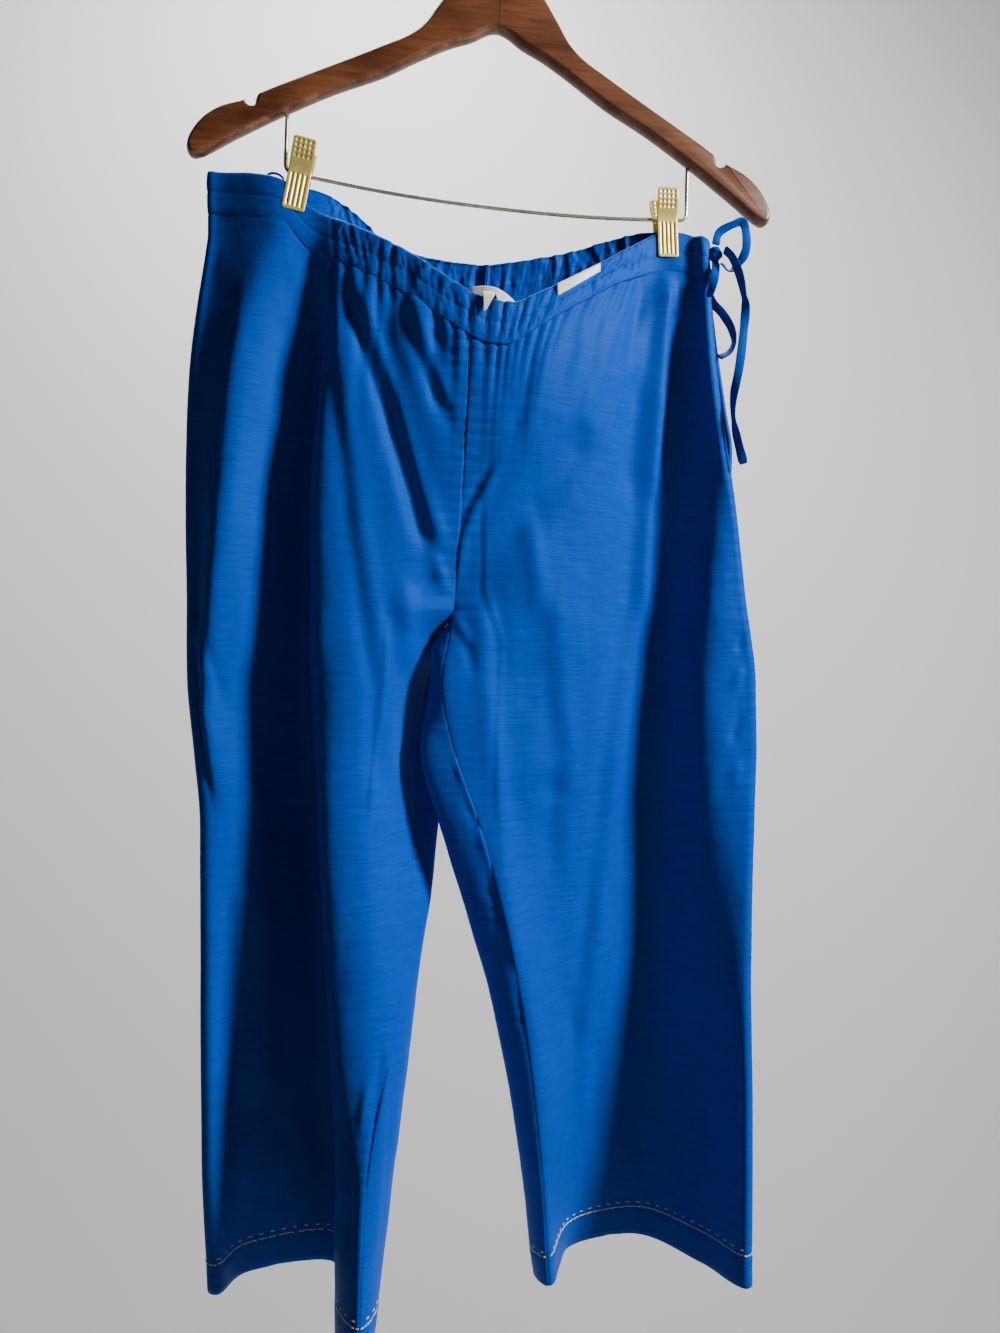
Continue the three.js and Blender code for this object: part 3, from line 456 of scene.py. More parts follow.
def noise(u, v, seed=0):
    """Smooth value noise from -1 to 1."""
    grid = NOISES[seed]
    iu, iv = np.floor(u).astype(int), np.floor(v).astype(int)
    fu, fv = u - iu, v - iv
    fu, fv = fu**3 * (fu * (6 * fu - 15) + 10), fv**3 * (fv * (6 * fv - 15) + 10)
    a, b = grid[iu % 64, iv % 64], grid[(iu + 1) % 64, iv % 64]
    c, d = grid[iu % 64, (iv + 1) % 64], grid[(iu + 1) % 64, (iv + 1) % 64]
    return (a * (1 - fu) + b * fu) * (1 - fv) + (c * (1 - fu) + d * fu) * fv


def along(points, x, z):
    """Nearest distance from (x, z) to a polyline, with its side, and how far along it the place is."""
    best = np.full(x.shape, 1e9)
    signed = np.zeros(x.shape)
    run = np.zeros(x.shape)
    done = 0.0
    for (x0, z0), (x1, z1) in zip(points, points[1:]):
        dx, dz = x1 - x0, z1 - z0
        length = math.hypot(dx, dz)
        t = np.clip(((x - x0) * dx + (z - z0) * dz) / length**2, 0, 1)
        off = np.hypot(x - x0 - t * dx, z - z0 - t * dz)
        closer = off < best
        which = np.sign((x - x0) * dz - (z - z0) * dx)
        best = np.where(closer, off, best)
        signed = np.where(closer, off * -which, signed)
        run = np.where(closer, done + t * length, run)
        done += length
    return signed, run, done


# ------------------------------------------------------------------ folds of the cloth
# Each fold is a kind, its size, half its breadth, and its line of (x, z) down the panel. A crest has its size
# as a height outwards, or inwards where it is a trough. A flank rises to the right over its line and sinks
# on both sides of it.
FOLDS = {
    ("front", "right"): [
        ("flank", 6.5, 8.5, [(-118, -338), (-114, -366), (-102, -402), (-89, -438), (-74, -491),
            (-64, -525), (-55, -548)]),
        ("flank", 4, 7, [(-84, -344), (-79, -366), (-67, -401), (-52, -437), (-45, -456)]),
        ("flank", 1.4, 5, [(-60, -362), (-53, -385), (-46, -405)]),
        ("flank", 2.6, 8, [(-130, -345), (-131, -400), (-124, -455), (-118, -513), (-109, -581),
            (-99, -640), (-98, -720)]),
        ("crest", 1.0, 2.2, [(-94, -587), (-97, -640), (-101, -677), (-109, -740)]),
        ("crest", -1.6, 6, [(-78, -575), (-70, -567), (-54, -558)]),
        ("crest", 1.8, 8, [(-88, -555), (-80, -590), (-78, -640)]),
        ("crest", 1.4, 5, [(-64, -535), (-54, -560), (-47, -580)]),
        ("crest", 1.2, 3, [(-110, -905), (-117, -945)]),
        ("flank", 1.6, 4, [(-98, -880), (-104, -935), (-112, -990)]),
        ("crest", -1.4, 3.5, [(-92, -925), (-106, -975)]),
        ("flank", 1.2, 4, [(-118, -960), (-124, -1030)]),
        ("crest", 1.4, 4, [(-233, -580), (-214, -652)]),
        ("crest", -1.4, 4, [(-225, -600), (-206, -665)]),
        ("crest", 1.0, 4, [(-229, -640), (-214, -690)]),
        ("crest", -1.2, 8, [(-205, -330), (-212, -420), (-214, -520)]),
        ("crest", 1.8, 9, [(-190, -700), (-184, -830), (-182, -960)]),
        ("crest", -1.2, 6, [(-206, -780), (-202, -880), (-204, -980)]),
    ],
    ("front", "left"): [
        ("crest", 3, 7, [(131, -309), (124, -357), (120, -438), (115, -516), (110, -590)]),
        ("flank", 3.2, 10, [(112, -391), (106, -480), (102, -579), (94, -622), (83, -691), (78, -745),
            (70, -806), (63, -851), (60, -930)]),
        ("flank", 2.2, 7, [(114, -330), (103, -365), (94, -410)]),
        ("flank", 5, 17, [(120, -312), (118, -365), (108, -430), (104, -500)]),
        ("flank", 1.8, 9, [(74, -350), (62, -400), (44, -450)]),
        ("flank", 1.6, 8, [(56, -360), (46, -400), (30, -440)]),
        ("flank", 1.5, 7, [(20, -385), (12, -420), (0, -470)]),
        ("flank", 2.8, 5, [(-10, -470), (-24, -495), (-33, -512), (-40, -530), (-43, -549), (-44, -570)]),
        ("crest", 1.3, 3, [(-44, -588), (-39, -598), (-32, -612)]),
        ("crest", -1.2, 4, [(-41, -600), (-34, -616), (-28, -640)]),
        ("flank", 0.9, 3.2, [(-23, -487), (-22, -571), (-11, -610), (-13, -654), (-15, -696),
            (-15, -748)]),
        ("crest", 2.2, 9, [(-24, -570), (-22, -636), (-16, -688), (-10, -740), (-9, -792), (-3, -860)]),
        ("crest", 2, 9, [(8, -500), (18, -560), (24, -600)]),
        ("flank", 2.4, 11, [(26, -560), (34, -652), (41, -690), (38, -742), (40, -800)]),
        ("flank", 1.6, 9, [(52, -860), (58, -930), (62, -1000)]),
        ("crest", -1.6, 12, [(34, -705), (36, -735)]),
        ("crest", 1.2, 8, [(8, -860), (20, -930), (30, -1010)]),
        ("crest", -1.2, 4, [(187, -600), (178, -618)]),
        ("crest", 1.4, 4, [(186, -626), (174, -646)]),
        ("crest", -1.4, 4, [(184, -662), (172, -690)]),
        ("crest", 1.0, 4, [(182, -700), (172, -720)]),
    ],
    ("back", "right"): [
        ("crest", 2.6, 7, [(-128, -318), (-118, -400), (-100, -480)]),
        ("flank", 3.5, 8, [(-112, -330), (-96, -410), (-74, -480)]),
        ("crest", 2.4, 9, [(-176, -330), (-178, -430), (-172, -560)]),
        ("crest", -2.2, 8, [(-86, -560), (-98, -660), (-104, -780)]),
        ("crest", 2.8, 9, [(-130, -560), (-134, -700), (-128, -860), (-134, -1000)]),
        ("crest", -2.2, 8, [(-180, -640), (-182, -800), (-176, -980)]),
        ("crest", 1.4, 4, [(-98, -880), (-104, -960), (-112, -1030)]),
    ],
    ("back", "left"): [
        ("crest", 2.6, 7, [(112, -318), (100, -400), (84, -480)]),
        ("flank", -3.5, 8, [(96, -330), (80, -400), (58, -470)]),
        ("crest", 2.2, 9, [(146, -330), (150, -440), (146, -560)]),
        ("crest", 2.4, 8, [(30, -520), (44, -640), (60, -760)]),
        ("crest", -2.6, 9, [(96, -540), (98, -700), (104, -860), (102, -1000)]),
        ("crest", 1.6, 4, [(-46, -690), (-30, -724)]),
        ("flank", 1.6, 4, [(-40, -716), (-22, -752)]),
        ("crest", 1.6, 4, [(-30, -740), (-10, -786)]),
        ("flank", 1.4, 4, [(-24, -770), (-4, -824)]),
        ("crest", 1.2, 4, [(-12, -800), (4, -860)]),
        ("flank", 1.2, 4, [(-2, -840), (12, -910)]),
    ],
}
FOLD_FADE = 28.0  # over which a fold dies out at its ends
FOLD_DEPTH = 1.3
PUCKER_PITCH = 9.5
PUCKER_REACH = 6.0
PLEATS = 2.0  # below the casing, over the gathers in it


def fold_height(face, side, x, z):
    height = np.zeros(x.shape)
    for kind, size, width, line in FOLDS[face, side]:
        off, run, length = along(line, x, z)
        fade = min(FOLD_FADE, 0.4 * length)
        ends = smooth(run / fade) * smooth((length - run) / fade)
        across = off / width
        profile = size * across if kind == "flank" else size
        height += FOLD_DEPTH * profile * ends * np.exp(-(across**2))
    return height


def drag_depth(side, x, z):
    depth = np.zeros(x.shape)
    for fold in DRAG_FOLDS:
        if fold["side"] != side:
            continue
        (x0, z0), (x1, z1) = fold["start"], fold["end"]
        length = math.hypot(x1 - x0, z1 - z0)
        run = ((x - x0) * (x1 - x0) + (z - z0) * (z1 - z0)) / length
        off = ((x - x0) * (z1 - z0) - (z - z0) * (x1 - x0)) / length
        ends = smooth(run / 30) * smooth((length - run) / 60)
        depth += fold["depth"] * ends * np.exp(-((off / fold["width"]) ** 2))
    return depth


def plain_point(face, side, place, z):
    plan = plan_at(face, side, place, z)
    drag = drag_depth(side, plan[..., 0], z) if face == "front" else 0
    return np.stack([plan[..., 0], plan[..., 1] + drag, np.broadcast_to(z, plan.shape[:-1])], -1)


def plain_normal(face, side, place, z):
    step, last = 0.02, 6.0
    lead, trail = np.maximum(place - step, 0), np.minimum(place + step, last)
    across = plain_point(face, side, trail, z) - plain_point(face, side, lead, z)
    up = plain_point(face, side, place, z + 2) - plain_point(face, side, place, z - 2)
    turn = 1 if (side == "right") == (face == "front") else -1
    normal = np.cross(across, up) * turn
    return normal / np.linalg.norm(normal, axis=-1, keepdims=True)


def relief(face, side, place, point):
    """Height of the finer folds over the plain form."""
    x, z = point[..., 0], point[..., 2]
    top = top_of(face, side, place)
    down = top - z
    start = waist_x(face, side, place)
    fall = 26 + 16 * noise(start / 9, 0 * start, 1)
    pleats = PLEATS * gather_height(face, start) * np.sin(2 * math.pi * gather_turns(face, start))
    height = pleats * smooth((down - 24) / 12) * np.exp(-np.maximum(down - 34, 0) / fall)
    height += fold_height(face, side, x, z)
    seam = column_at(face, side, "seam", z)
    edge = side_edge(face, side, z)
    plan = point[..., :2]
    for line, strength in ((seam, 0.4), (edge, 0.25)):
        off = np.linalg.norm(plan - line, axis=-1)
        wave = np.sin(2 * math.pi * z / PUCKER_PITCH + 3 * noise(z / 31, 0 * z, 2))
        height += strength * wave * (off / 3) * np.exp(-off / PUCKER_REACH)
    height += 1.1 * noise(x / 34, z / 105, 0) + 0.45 * noise(x / 13 + 7, z / 38, 1)
    height += 0.12 * noise(x / 5, z / 9, 2)
    up = z - HEM_Z[side]
    height += 0.45 * (1 - smooth((up - HEM_HEIGHT + 1) / 2.5))
    height -= 0.5 * np.exp(-(((up - HEM_HEIGHT) / 1.3) ** 2)) * (1 + 0.5 * np.sin(2 * math.pi * x / 4.5))
    height += 0.4 * noise(x / 7, z / 60, 3) * np.exp(-np.maximum(up, 0) / 18)
    return height * smooth(place / 0.8 + 0.15)


# ------------------------------------------------------------------ meshes
def link(name, mesh, material, nodes=(), slot=None):
    piece = bpy.data.objects.new(name, mesh)
    bpy.context.scene.collection.objects.link(piece)
    mesh.materials.append(material)
    mesh.shade_smooth()
    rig.ride(piece, "root")
    if nodes:
        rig.replaces(piece, *nodes)
    if slot:
        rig.slot(piece, slot)
    return piece


def mesh_from(name, points, faces):
    """points in mm; faces is an array of quads or triangles, or a list of both."""
    mesh = bpy.data.meshes.new(name)
    if isinstance(faces, list):
        mesh.from_pydata((np.asarray(points) * MM).tolist(), [], faces)
    else:
        count, corners = faces.shape
        mesh.vertices.add(len(points))
        mesh.vertices.foreach_set("co", (np.asarray(points) * MM).astype(np.float32).ravel())
        mesh.loops.add(count * corners)
        mesh.loops.foreach_set("vertex_index", faces.astype(np.int32).ravel())
        mesh.polygons.add(count)
        mesh.polygons.foreach_set("loop_start", np.arange(0, count * corners, corners, dtype=np.int32))
    mesh.update(calc_edges=True)
    mesh.validate()
    return mesh


def grid_quads(rows, columns, offset=0, wrap=False):
    j, i = np.meshgrid(np.arange(rows - 1), np.arange(columns if wrap else columns - 1), indexing="ij")
    k = (i + 1) % columns
    quads = np.stack([j * columns + i, j * columns + k, (j + 1) * columns + k, (j + 1) * columns + i], -1)
    return quads.reshape(-1, 4) + offset


def grid_normals(points):
    across, down = np.gradient(points, axis=1), np.gradient(points, axis=0)
    normal = np.cross(across, down)
    return normal / np.maximum(np.linalg.norm(normal, axis=-1, keepdims=True), 1e-9)


def shell(name, outer, thickness, flip):
    """A closed wall: the outer grid, its inner copy, and the rim between them."""
    rows, columns = outer.shape[:2]
    normal = grid_normals(outer) * (-1 if flip else 1)
    inner = outer - normal * thickness
    points = np.concatenate([outer.reshape(-1, 3), inner.reshape(-1, 3)])
    quads = grid_quads(rows, columns)
    back = grid_quads(rows, columns, rows * columns)[:, ::-1]
    index = np.arange(rows * columns).reshape(rows, columns)
    rim = np.concatenate([index[0, :-1], index[:-1, -1], index[-1, :0:-1], index[:0:-1, 0]])
    following = np.roll(rim, -1)
    walls = np.stack([rim, rim + rows * columns, following + rows * columns, following], -1)
    faces = np.concatenate([quads, back, walls])
    return mesh_from(name, points, faces[:, ::-1] if flip else faces)


def even_places(steps):
    """Places across a panel, with a count of steps to each of its columns."""
    return np.concatenate([k + np.arange(count) / count for k, count in enumerate(steps)] + [[len(steps)]])


def places_across(face, side, steps, z):
    """Places from edge to edge, with half a seam's gap left at both ends. z has a last axis of 1."""
    places = even_places(steps)
    places = np.broadcast_to(places, z.shape[:-1] + places.shape).copy()
    for end, step in ((0, 0.05), (-1, -0.05)):
        here = places[..., end]
        level = z[..., 0]
        beside = plan_at(face, side, here + step, level)
        reach = np.linalg.norm(plan_at(face, side, here, level) - beside, axis=-1)
        places[..., end] += step * SEAM_GAP / 2 / reach
    return places


def turned_in(points, normal, depth):
    """Adds seam allowances to a grid: columns that turn in from both seams."""
    left = points[:, :1] - normal[:, :1] * depth
    right = points[:, -1:] - normal[:, -1:] * depth
    return np.concatenate([left, points, right], 1)


PANEL_STEPS = {"front": [6, 18, 22, 20, 26, 30], "back": [6, 16, 20, 24, 24, 28]}
ROWS_ABOVE, ROWS_BELOW = (60, 90) if QUICK else (105, 150)
UNDER_CASING = 25.0  # the panel runs up under the casing to here


def panel(face, side, material):
    steps = PANEL_STEPS[face]
    rough = even_places(steps)
    top = top_of(face, side, rough) - UNDER_CASING
    down = np.linspace(0, 1, ROWS_ABOVE + 1)[:, None]
    above = top + (CROTCH_Z - top) * down
    below = CROTCH_Z + (HEM_Z[side] - CROTCH_Z) * np.linspace(0, 1, ROWS_BELOW + 1)[1:, None] ** 1.1
    z = np.concatenate([above, np.broadcast_to(below, (ROWS_BELOW, len(rough)))])
    place = places_across(face, side, steps, z[:, :1])
    point, normal = plain_point(face, side, place, z), plain_normal(face, side, place, z)
    hidden = 0.9 * smooth((UNDER_CASING + 7 - (top_of(face, side, rough) - z)) / 3)
    outer = point + normal * (relief(face, side, place, point) - hidden)[..., None]
    outer = turned_in(outer, normal, 3.0)
    flip = (face == "front") != (side == "right")
    mesh = shell(f"{face}_{side}_cloth", outer, SHELL, flip)
    return link(f"{face}_{side}_cloth", mesh, material, [f"{face}_{side}"], "cloth")


CASING_ROWS = rows_of(("down", "swell"), [(0, 0.9), (11, 1.1), (22, 0.8), (30, 0.35)])
CASING_STEPS = {
    ("front", "right"): [5, 14, 10, 16, 60, 76],
    ("front", "left"): [5, 14, 10, 14, 70, 110],
    ("back", "right"): [5, 14, 10, 66, 52, 50],
    ("back", "left"): [5, 14, 10, 54, 52, 52],
}
STITCH_ROWS = (15.0, 28.3)  # below the top edge
UNDER_LABEL = 0.6  # share of the gathers pressed flat by the care label


def casing_height(face, side, place, down):
    x = waist_x(face, side, place)
    gather, turns = gather_height(face, x), gather_turns(face, x)
    main = gather * np.sin(2 * math.pi * turns) * (0.75 + 0.5 * noise(x / 23, 0 * x, 2))
    slant = 0.45 * noise(x / 40, down / 30, 3)
    lean = slant * down
    fine = 1.1 * noise((x + lean) / 3.4, down / 16, 1) + 0.5 * noise((x - lean) / 1.9, down / 8, 2)
    swell = through(CASING_ROWS["down"], CASING_ROWS["swell"], np.clip(down, 0, 30))
    height = (main + gather * fine) * swell
    if face == "front":
        started, unended = smooth((x - CARE_LABEL["from"]) / 8), smooth((CARE_LABEL["to"] - x) / 8)
        height = height * (1 - UNDER_LABEL * started * unended)
    for row in STITCH_ROWS:
        height = height - 0.42 * np.exp(-(((down - row) / 1.2) ** 2))
    padding = 0.25 * noise(x / 8, down / 10, 3) + 0.3 * np.sin(math.pi * np.clip(down / 15, 0, 1))
    pressed = 0.25 * (1 - free_of_clips(x))
    return height + padding * free_of_clips(x) - pressed


def casing(face, side, material):
    down = np.concatenate([[0, 0.6, 1.4], np.linspace(2.6, 29.2, 20), [CASING_HEIGHT]])
    rolled = -0.7 * (1 - np.clip(down / 1.4, 0, 1)) ** 2 - 0.5 * np.clip((down - 29.2) / 0.8, 0, 1) ** 2
    waist = np.full((1, 1), WAIST_Z)
    place = places_across(face, side, CASING_STEPS[face, side], waist)
    place = np.broadcast_to(place, (len(down), place.shape[-1]))
    z = top_of(face, side, place) - down[:, None]
    point, normal = plain_point(face, side, place, z), plain_normal(face, side, place, z)
    height = casing_height(face, side, place, down[:, None]) + rolled[:, None]
    outer = turned_in(point + normal * height[..., None], normal, 2.0)
    flip = (face == "front") != (side == "right")
    mesh = shell(f"casing_{face}_{side}_cloth", outer, CASING_SHELL, flip)
    return link(f"casing_{face}_{side}_cloth", mesh, material, [f"casing_{face}_{side}"], "cloth")


# ------------------------------------------------------------------ swept pieces
def curve_points(points, steps):
    """Centripetal Catmull-Rom through the points, steps to each stretch, with its tangents."""
    route = np.array(points, float)
    route = np.concatenate([[2 * route[0] - route[1]], route, [2 * route[-1] - route[-2]]])
    t = np.arange(steps) / steps
    out = []
    for k in range(1, len(route) - 2):
        a, b, c, d = (np.broadcast_to(route[k + m], (steps, 3)) for m in (-1, 0, 1, 2))
        out.append(between(a, b, c, d, t))
    line = np.concatenate(out + [route[-2:-1]])
    tangent = np.gradient(line, axis=0)
    return line, tangent / np.linalg.norm(tangent, axis=1, keepdims=True)


def swept(name, line, across, over, section):
    """A closed tube: section is a ring of (a, b) for each place, or one ring for all."""
    section = np.broadcast_to(section, (len(line),) + np.shape(section)[-2:])
    rings = line[:, None] + section[..., :1] * across[:, None] + section[..., 1:] * over[:, None]
    sides = rings.shape[1]
    points = np.concatenate([rings.reshape(-1, 3), line[:1], line[-1:]])
    quads = grid_quads(len(line), sides, wrap=True)
    first, last = len(points) - 2, len(points) - 1
    caps = []
    for c in range(sides):
        n = (c + 1) % sides
        caps.append((first, n, c))
        caps.append((last, (len(line) - 1) * sides + c, (len(line) - 1) * sides + n))
    return mesh_from(name, points, quads.tolist() + caps)


def ring(sides, half_width, half_thickness, power=1.0):
    turn = 2 * math.pi * (np.arange(sides) + 0.5) / sides
    c, s = np.cos(turn), np.sin(turn)
    return np.stack([half_width * np.sign(c) * np.abs(c) ** power,
                     half_thickness * np.sign(s) * np.abs(s) ** power], -1)


def round_tube(name, points, diameter, steps=4, sides=20, plane=(0, 1, 0)):
    line, tangent = curve_points(points, steps)
    over = np.broadcast_to(np.array(plane, float), line.shape)
    across = np.cross(tangent, over)
    across /= np.linalg.norm(across, axis=1, keepdims=True)
    return swept(name, line, across, over, ring(sides, diameter / 2, diameter / 2))


def tape_frame(route, steps):
    """Line of a tape, the direction of its breadth and of its thickness."""
    line, run = curve_points([at for at, _ in route], steps)
    broad = np.cross(run, [0.0, 1.0, 0.0])
    broad /= np.linalg.norm(broad, axis=1, keepdims=True)
    keys = np.arange(len(route), dtype=float)
    turns = np.radians(np.array([turn for _, turn in route], float))
    turn = through(keys, turns, np.linspace(0, len(route) - 1, len(line)))[:, None]
    across = broad * np.cos(turn) + np.cross(run, broad) * np.sin(turn)
    return line, across, np.cross(run, across)


# ------------------------------------------------------------------ drawstring, with the routes of the solids
TAPE_WIDTH = 7.0
TAPE_THICKNESS = 1.5
KNOT = {"at": (166.9, -9, -302), "radii": (5, 4.5, 6.5)}
LOOP_UPPER = [
    ((167, -9, -294.6), 0), ((169, -11, -286), 20), ((179, -14, -280), 50), ((187, -15, -277.5), 30),
    ((190, -15, -286), 0), ((189.5, -15, -300), 10), ((185, -14, -309), 40), ((178, -10, -315), 60),
    ((172.5, -7, -308), 40),
]
TAIL = [
    ((172.3, -14, -300), 70), ((175.5, -20, -308), 70), ((180, -23, -322), 50), ((184, -23, -340), 80),
    ((185, -23, -347), 40), ((183.5, -22, -368), 0), ((180, -21, -395), 10), ((175.5, -20, -418), 60),
    ((175, -20, -434), 90), ((177.5, -20, -448), 50), ((183, -20, -470), 20),
]
LOOP_LOWER = [
    ((164.8, 2.3, -309), 20), ((164.5, 3, -322), 20), ((167, 0, -336), 40), ((175, -2, -346), 30),
    ((182, -3, -358), 60), ((184, -3, -369), 80), ((180, -2, -377), 60), ((172, -1, -381), 40),
]
SHORT_END = [
    ((166.5, -10.5, -308.9), 0), ((163.5, -16, -319), 0), ((160.5, -18, -330), 30), ((157.5, -18, -340), 60),
]
TAPE_STEPS = 8


def tape(name, route, material, node):
    line, across, over = tape_frame(route, TAPE_STEPS)
    count = len(line)
    section = np.broadcast_to(ring(16, TAPE_WIDTH / 2, TAPE_THICKNESS / 2, 0.6), (count, 16, 2)).copy()
    run = np.arange(count)
    section[..., 1] *= 1 - 0.25 * np.exp(-(((np.abs(section[..., 0]) - TAPE_WIDTH / 2 + 1.3) / 0.6) ** 2))
    section[..., 0] *= 1 + 0.05 * noise(run / 3.0, 0 * run, 1)[:, None]
    ends = np.minimum(run, count - 1 - run)
    section *= np.where(ends == 0, 0.75, 1)[:, None, None]
    return link(name, swept(name, line, across, over, section), material, [node], "cloth"), line


def knot(material):
    rows, columns = 36, 44
    rise = np.linspace(0, math.pi, rows)[:, None]
    turn = 2 * math.pi * np.arange(columns)[None] / columns
    reach = np.sin(rise)
    direction = np.stack([reach * np.cos(turn), reach * np.sin(turn), np.cos(rise) + 0 * turn], -1)
    wrap = np.sin(4.2 * (direction[..., 2] * 1.3 + 0.7 * direction[..., 0]))
    rough = noise(turn * 2 + 0 * rise, rise * 3 + 0 * turn, 2)
    swell = 1 + 0.09 * np.sign(wrap) * np.abs(wrap) ** 0.5 + 0.03 * rough
    points = np.array(KNOT["at"]) + direction * np.array(KNOT["radii"]) * swell[..., None]
    mesh = mesh_from("knot_cloth", points.reshape(-1, 3), grid_quads(rows, columns, wrap=True)[:, ::-1])
    return link("knot_cloth", mesh, material, ["string_knot"], "cloth")


def length_of(line):
    return float(np.linalg.norm(np.diff(line, axis=0), axis=1).sum())


def drawstring(material):
    upper, upper_line = tape("loop_upper_tape", LOOP_UPPER, material, "string_loop_upper")
    tail, tail_line = tape("tail_tape", TAIL, material, "string_tail")
    lower, lower_line = tape("loop_lower_tape", LOOP_LOWER, material, "string_loop_lower")
    short, _ = tape("short_end_tape", SHORT_END, material, "string_short_end")
    tied = knot(material)
    cords = [
        (upper, upper_line, "object", "loose", []),
        (tail, tail_line, "bare", "hanging", [tied, short]),
        (lower, lower_line, "object", "hanging", []),
    ]
    for piece, line, far_end, lay, others in cords:
        path = (line * MM).tolist()
        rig.cord(piece, exit=path[0], length=length_of(line) * MM, diameter=TAPE_WIDTH * MM, far_end=far_end,
                stiffness="limp", lay=lay, path=path, with_pieces=others)


# ------------------------------------------------------------------ places on the cloth
def place_at(face, side, x, z):
    """Place across a panel where it stands at x, at height z."""
    low, high = np.ones_like(x), np.full_like(x, 6.0)
    for _ in range(26):
        middle = (low + high) / 2
        past = (plan_at(face, side, middle, z)[..., 0] > x) == (side == "right")
        high = np.where(past, middle, high)
        low = np.where(past, low, middle)
    return low


def cloth_at(face, x, z):
    """Outer face of the plain form at x and z near the waist, its direction and its gathers."""
    x, z = np.broadcast_arrays(np.asarray(x, float), np.asarray(z, float))
    seam = column_at(face, "right", "seam", z)[..., 0]
    out = []
    for side in ("right", "left"):
        place = place_at(face, side, x, z)
        start = waist_x(face, side, place)
        wave = gather_height(face, start) * np.sin(2 * math.pi * gather_turns(face, start))
        out.append((plain_point(face, side, place, z), plain_normal(face, side, place, z), wave[..., None]))
    right = (x < seam)[..., None]
    return [np.where(right, a, b) for a, b in zip(*out)]


# ------------------------------------------------------------------ labels
TOUCHING = 0.5
LABEL_SHEET = 0.6
LABEL_CLEAR = 2.0  # over the gathers
CASING_WALL = 1.8  # in the solids
BRAND_LABEL = {"from": -32, "to": 15, "top": -331, "height": 27, "bulge": 11}
CARE_LABEL = {"from": 30, "to": 66, "inside": 14, "outside_from": 8.5, "outside_to": 5.5}
SIZE_TAB = [
    ((-9.5, 19.5, -349), 11), ((-18, -30, -356.5), 10), ((-21, -39.5, -357.2), 9.5), ((-22, -44.6, -361), 9),
    ((-25, -45, -373), 1.2),
]
HANGING_LOOP = [
    ((-178, 3.6, -266.2), 90), ((-177, 3.6, -263), 90), ((-172, 3.6, -262), 90), ((-167, 3.6, -264.5), 90),
    ((-165.4, 3.6, -270.3), 90),
]


def brand_label(material):
    size = BRAND_LABEL
    across = np.linspace(-1, 1, 49)[None]
    down = np.linspace(0, 1, 25)[:, None]
    x = size["from"] + (size["to"] - size["from"]) * (across + 1) / 2 + 0 * down
    bow = 5 * (1 - across**2) - 3 * (across + 1)
    z = size["top"] + bow * (1 - down) - size["height"] * down
    point, normal, wave = cloth_at("back", x, z)
    swell = through(CASING_ROWS["down"], CASING_ROWS["swell"], np.clip(top_at("back", x) - z, 0, 30))
    off = np.abs(across) * swell * wave[..., 0] - CASING_WALL - TOUCHING
    point = point + normal * off[..., None]
    point[..., 1] -= size["bulge"] * (1 - across**2) + 0.25 * np.sin(9 * across + 5 * down)
    mesh = shell("brand_label_satin", point, LABEL_SHEET, True)
    return link("brand_label_satin", mesh, material, ["brand_label"], "label")


def size_tab(material):
    line, _ = curve_points([at for at, _ in SIZE_TAB], 8)
    keys = np.arange(len(SIZE_TAB), dtype=float)
    width = np.interp(np.linspace(0, len(SIZE_TAB) - 1, len(line)), keys, [w for _, w in SIZE_TAB])
    across = np.linspace(-0.5, 0.5, 9)
    points = line[:, None] + across[None, :, None] * width[:, None, None] * np.array([1.0, 0, 0])
    points[..., 2] += 0.5 * np.cos(math.pi * across)[None]
    mesh = shell("size_tab_satin", points, LABEL_SHEET, False)
    return link("size_tab_satin", mesh, material, ["size_tab"], "label")


def care_label(material):
    size = CARE_LABEL
    t = np.linspace(0, 1, 25)
    x = size["from"] + (size["to"] - size["from"]) * t
    outside = size["outside_from"] + (size["outside_to"] - size["outside_from"]) * t
    top = top_at("front", x)
    clear = LABEL_CLEAR
    far = clear + LABEL_SHEET
    rows = []

    def lie(down, off, lift=0.0):
        point, normal, _ = cloth_at("front", x, top - np.clip(down, 0, 30))
        point = point + normal * off
        point[..., 2] += lift
        rows.append(point)

    for share in np.linspace(1, 0.15, 8):
        lie(size["inside"] * share, -CASING_WALL - far)
    half, centre = (CASING_WALL + 2 * far) / 2, -CASING_WALL / 2
    for turn in np.linspace(-math.pi / 2, math.pi / 2, 9):
        lie(0 * x, centre + half * math.sin(turn), (TOUCHING + LABEL_SHEET) * math.cos(turn) ** 0.5 + 0.1)
    for share in np.linspace(0.15, 1, 7):
        lie(outside * share, far)
    points = np.stack(rows, 0)
    mesh = shell("care_label_satin", points, LABEL_SHEET, True)
    return link("care_label_satin", mesh, material, ["care_label"], "label")


def hanging_loop(material):
    line, across, over = tape_frame(HANGING_LOOP, 8)
    mesh = swept("hanging_loop_tape", line, across, over, ring(12, 1.5, 0.6, 0.7))
    return link("hanging_loop_tape", mesh, material, ["hanging_loop"], "cloth")


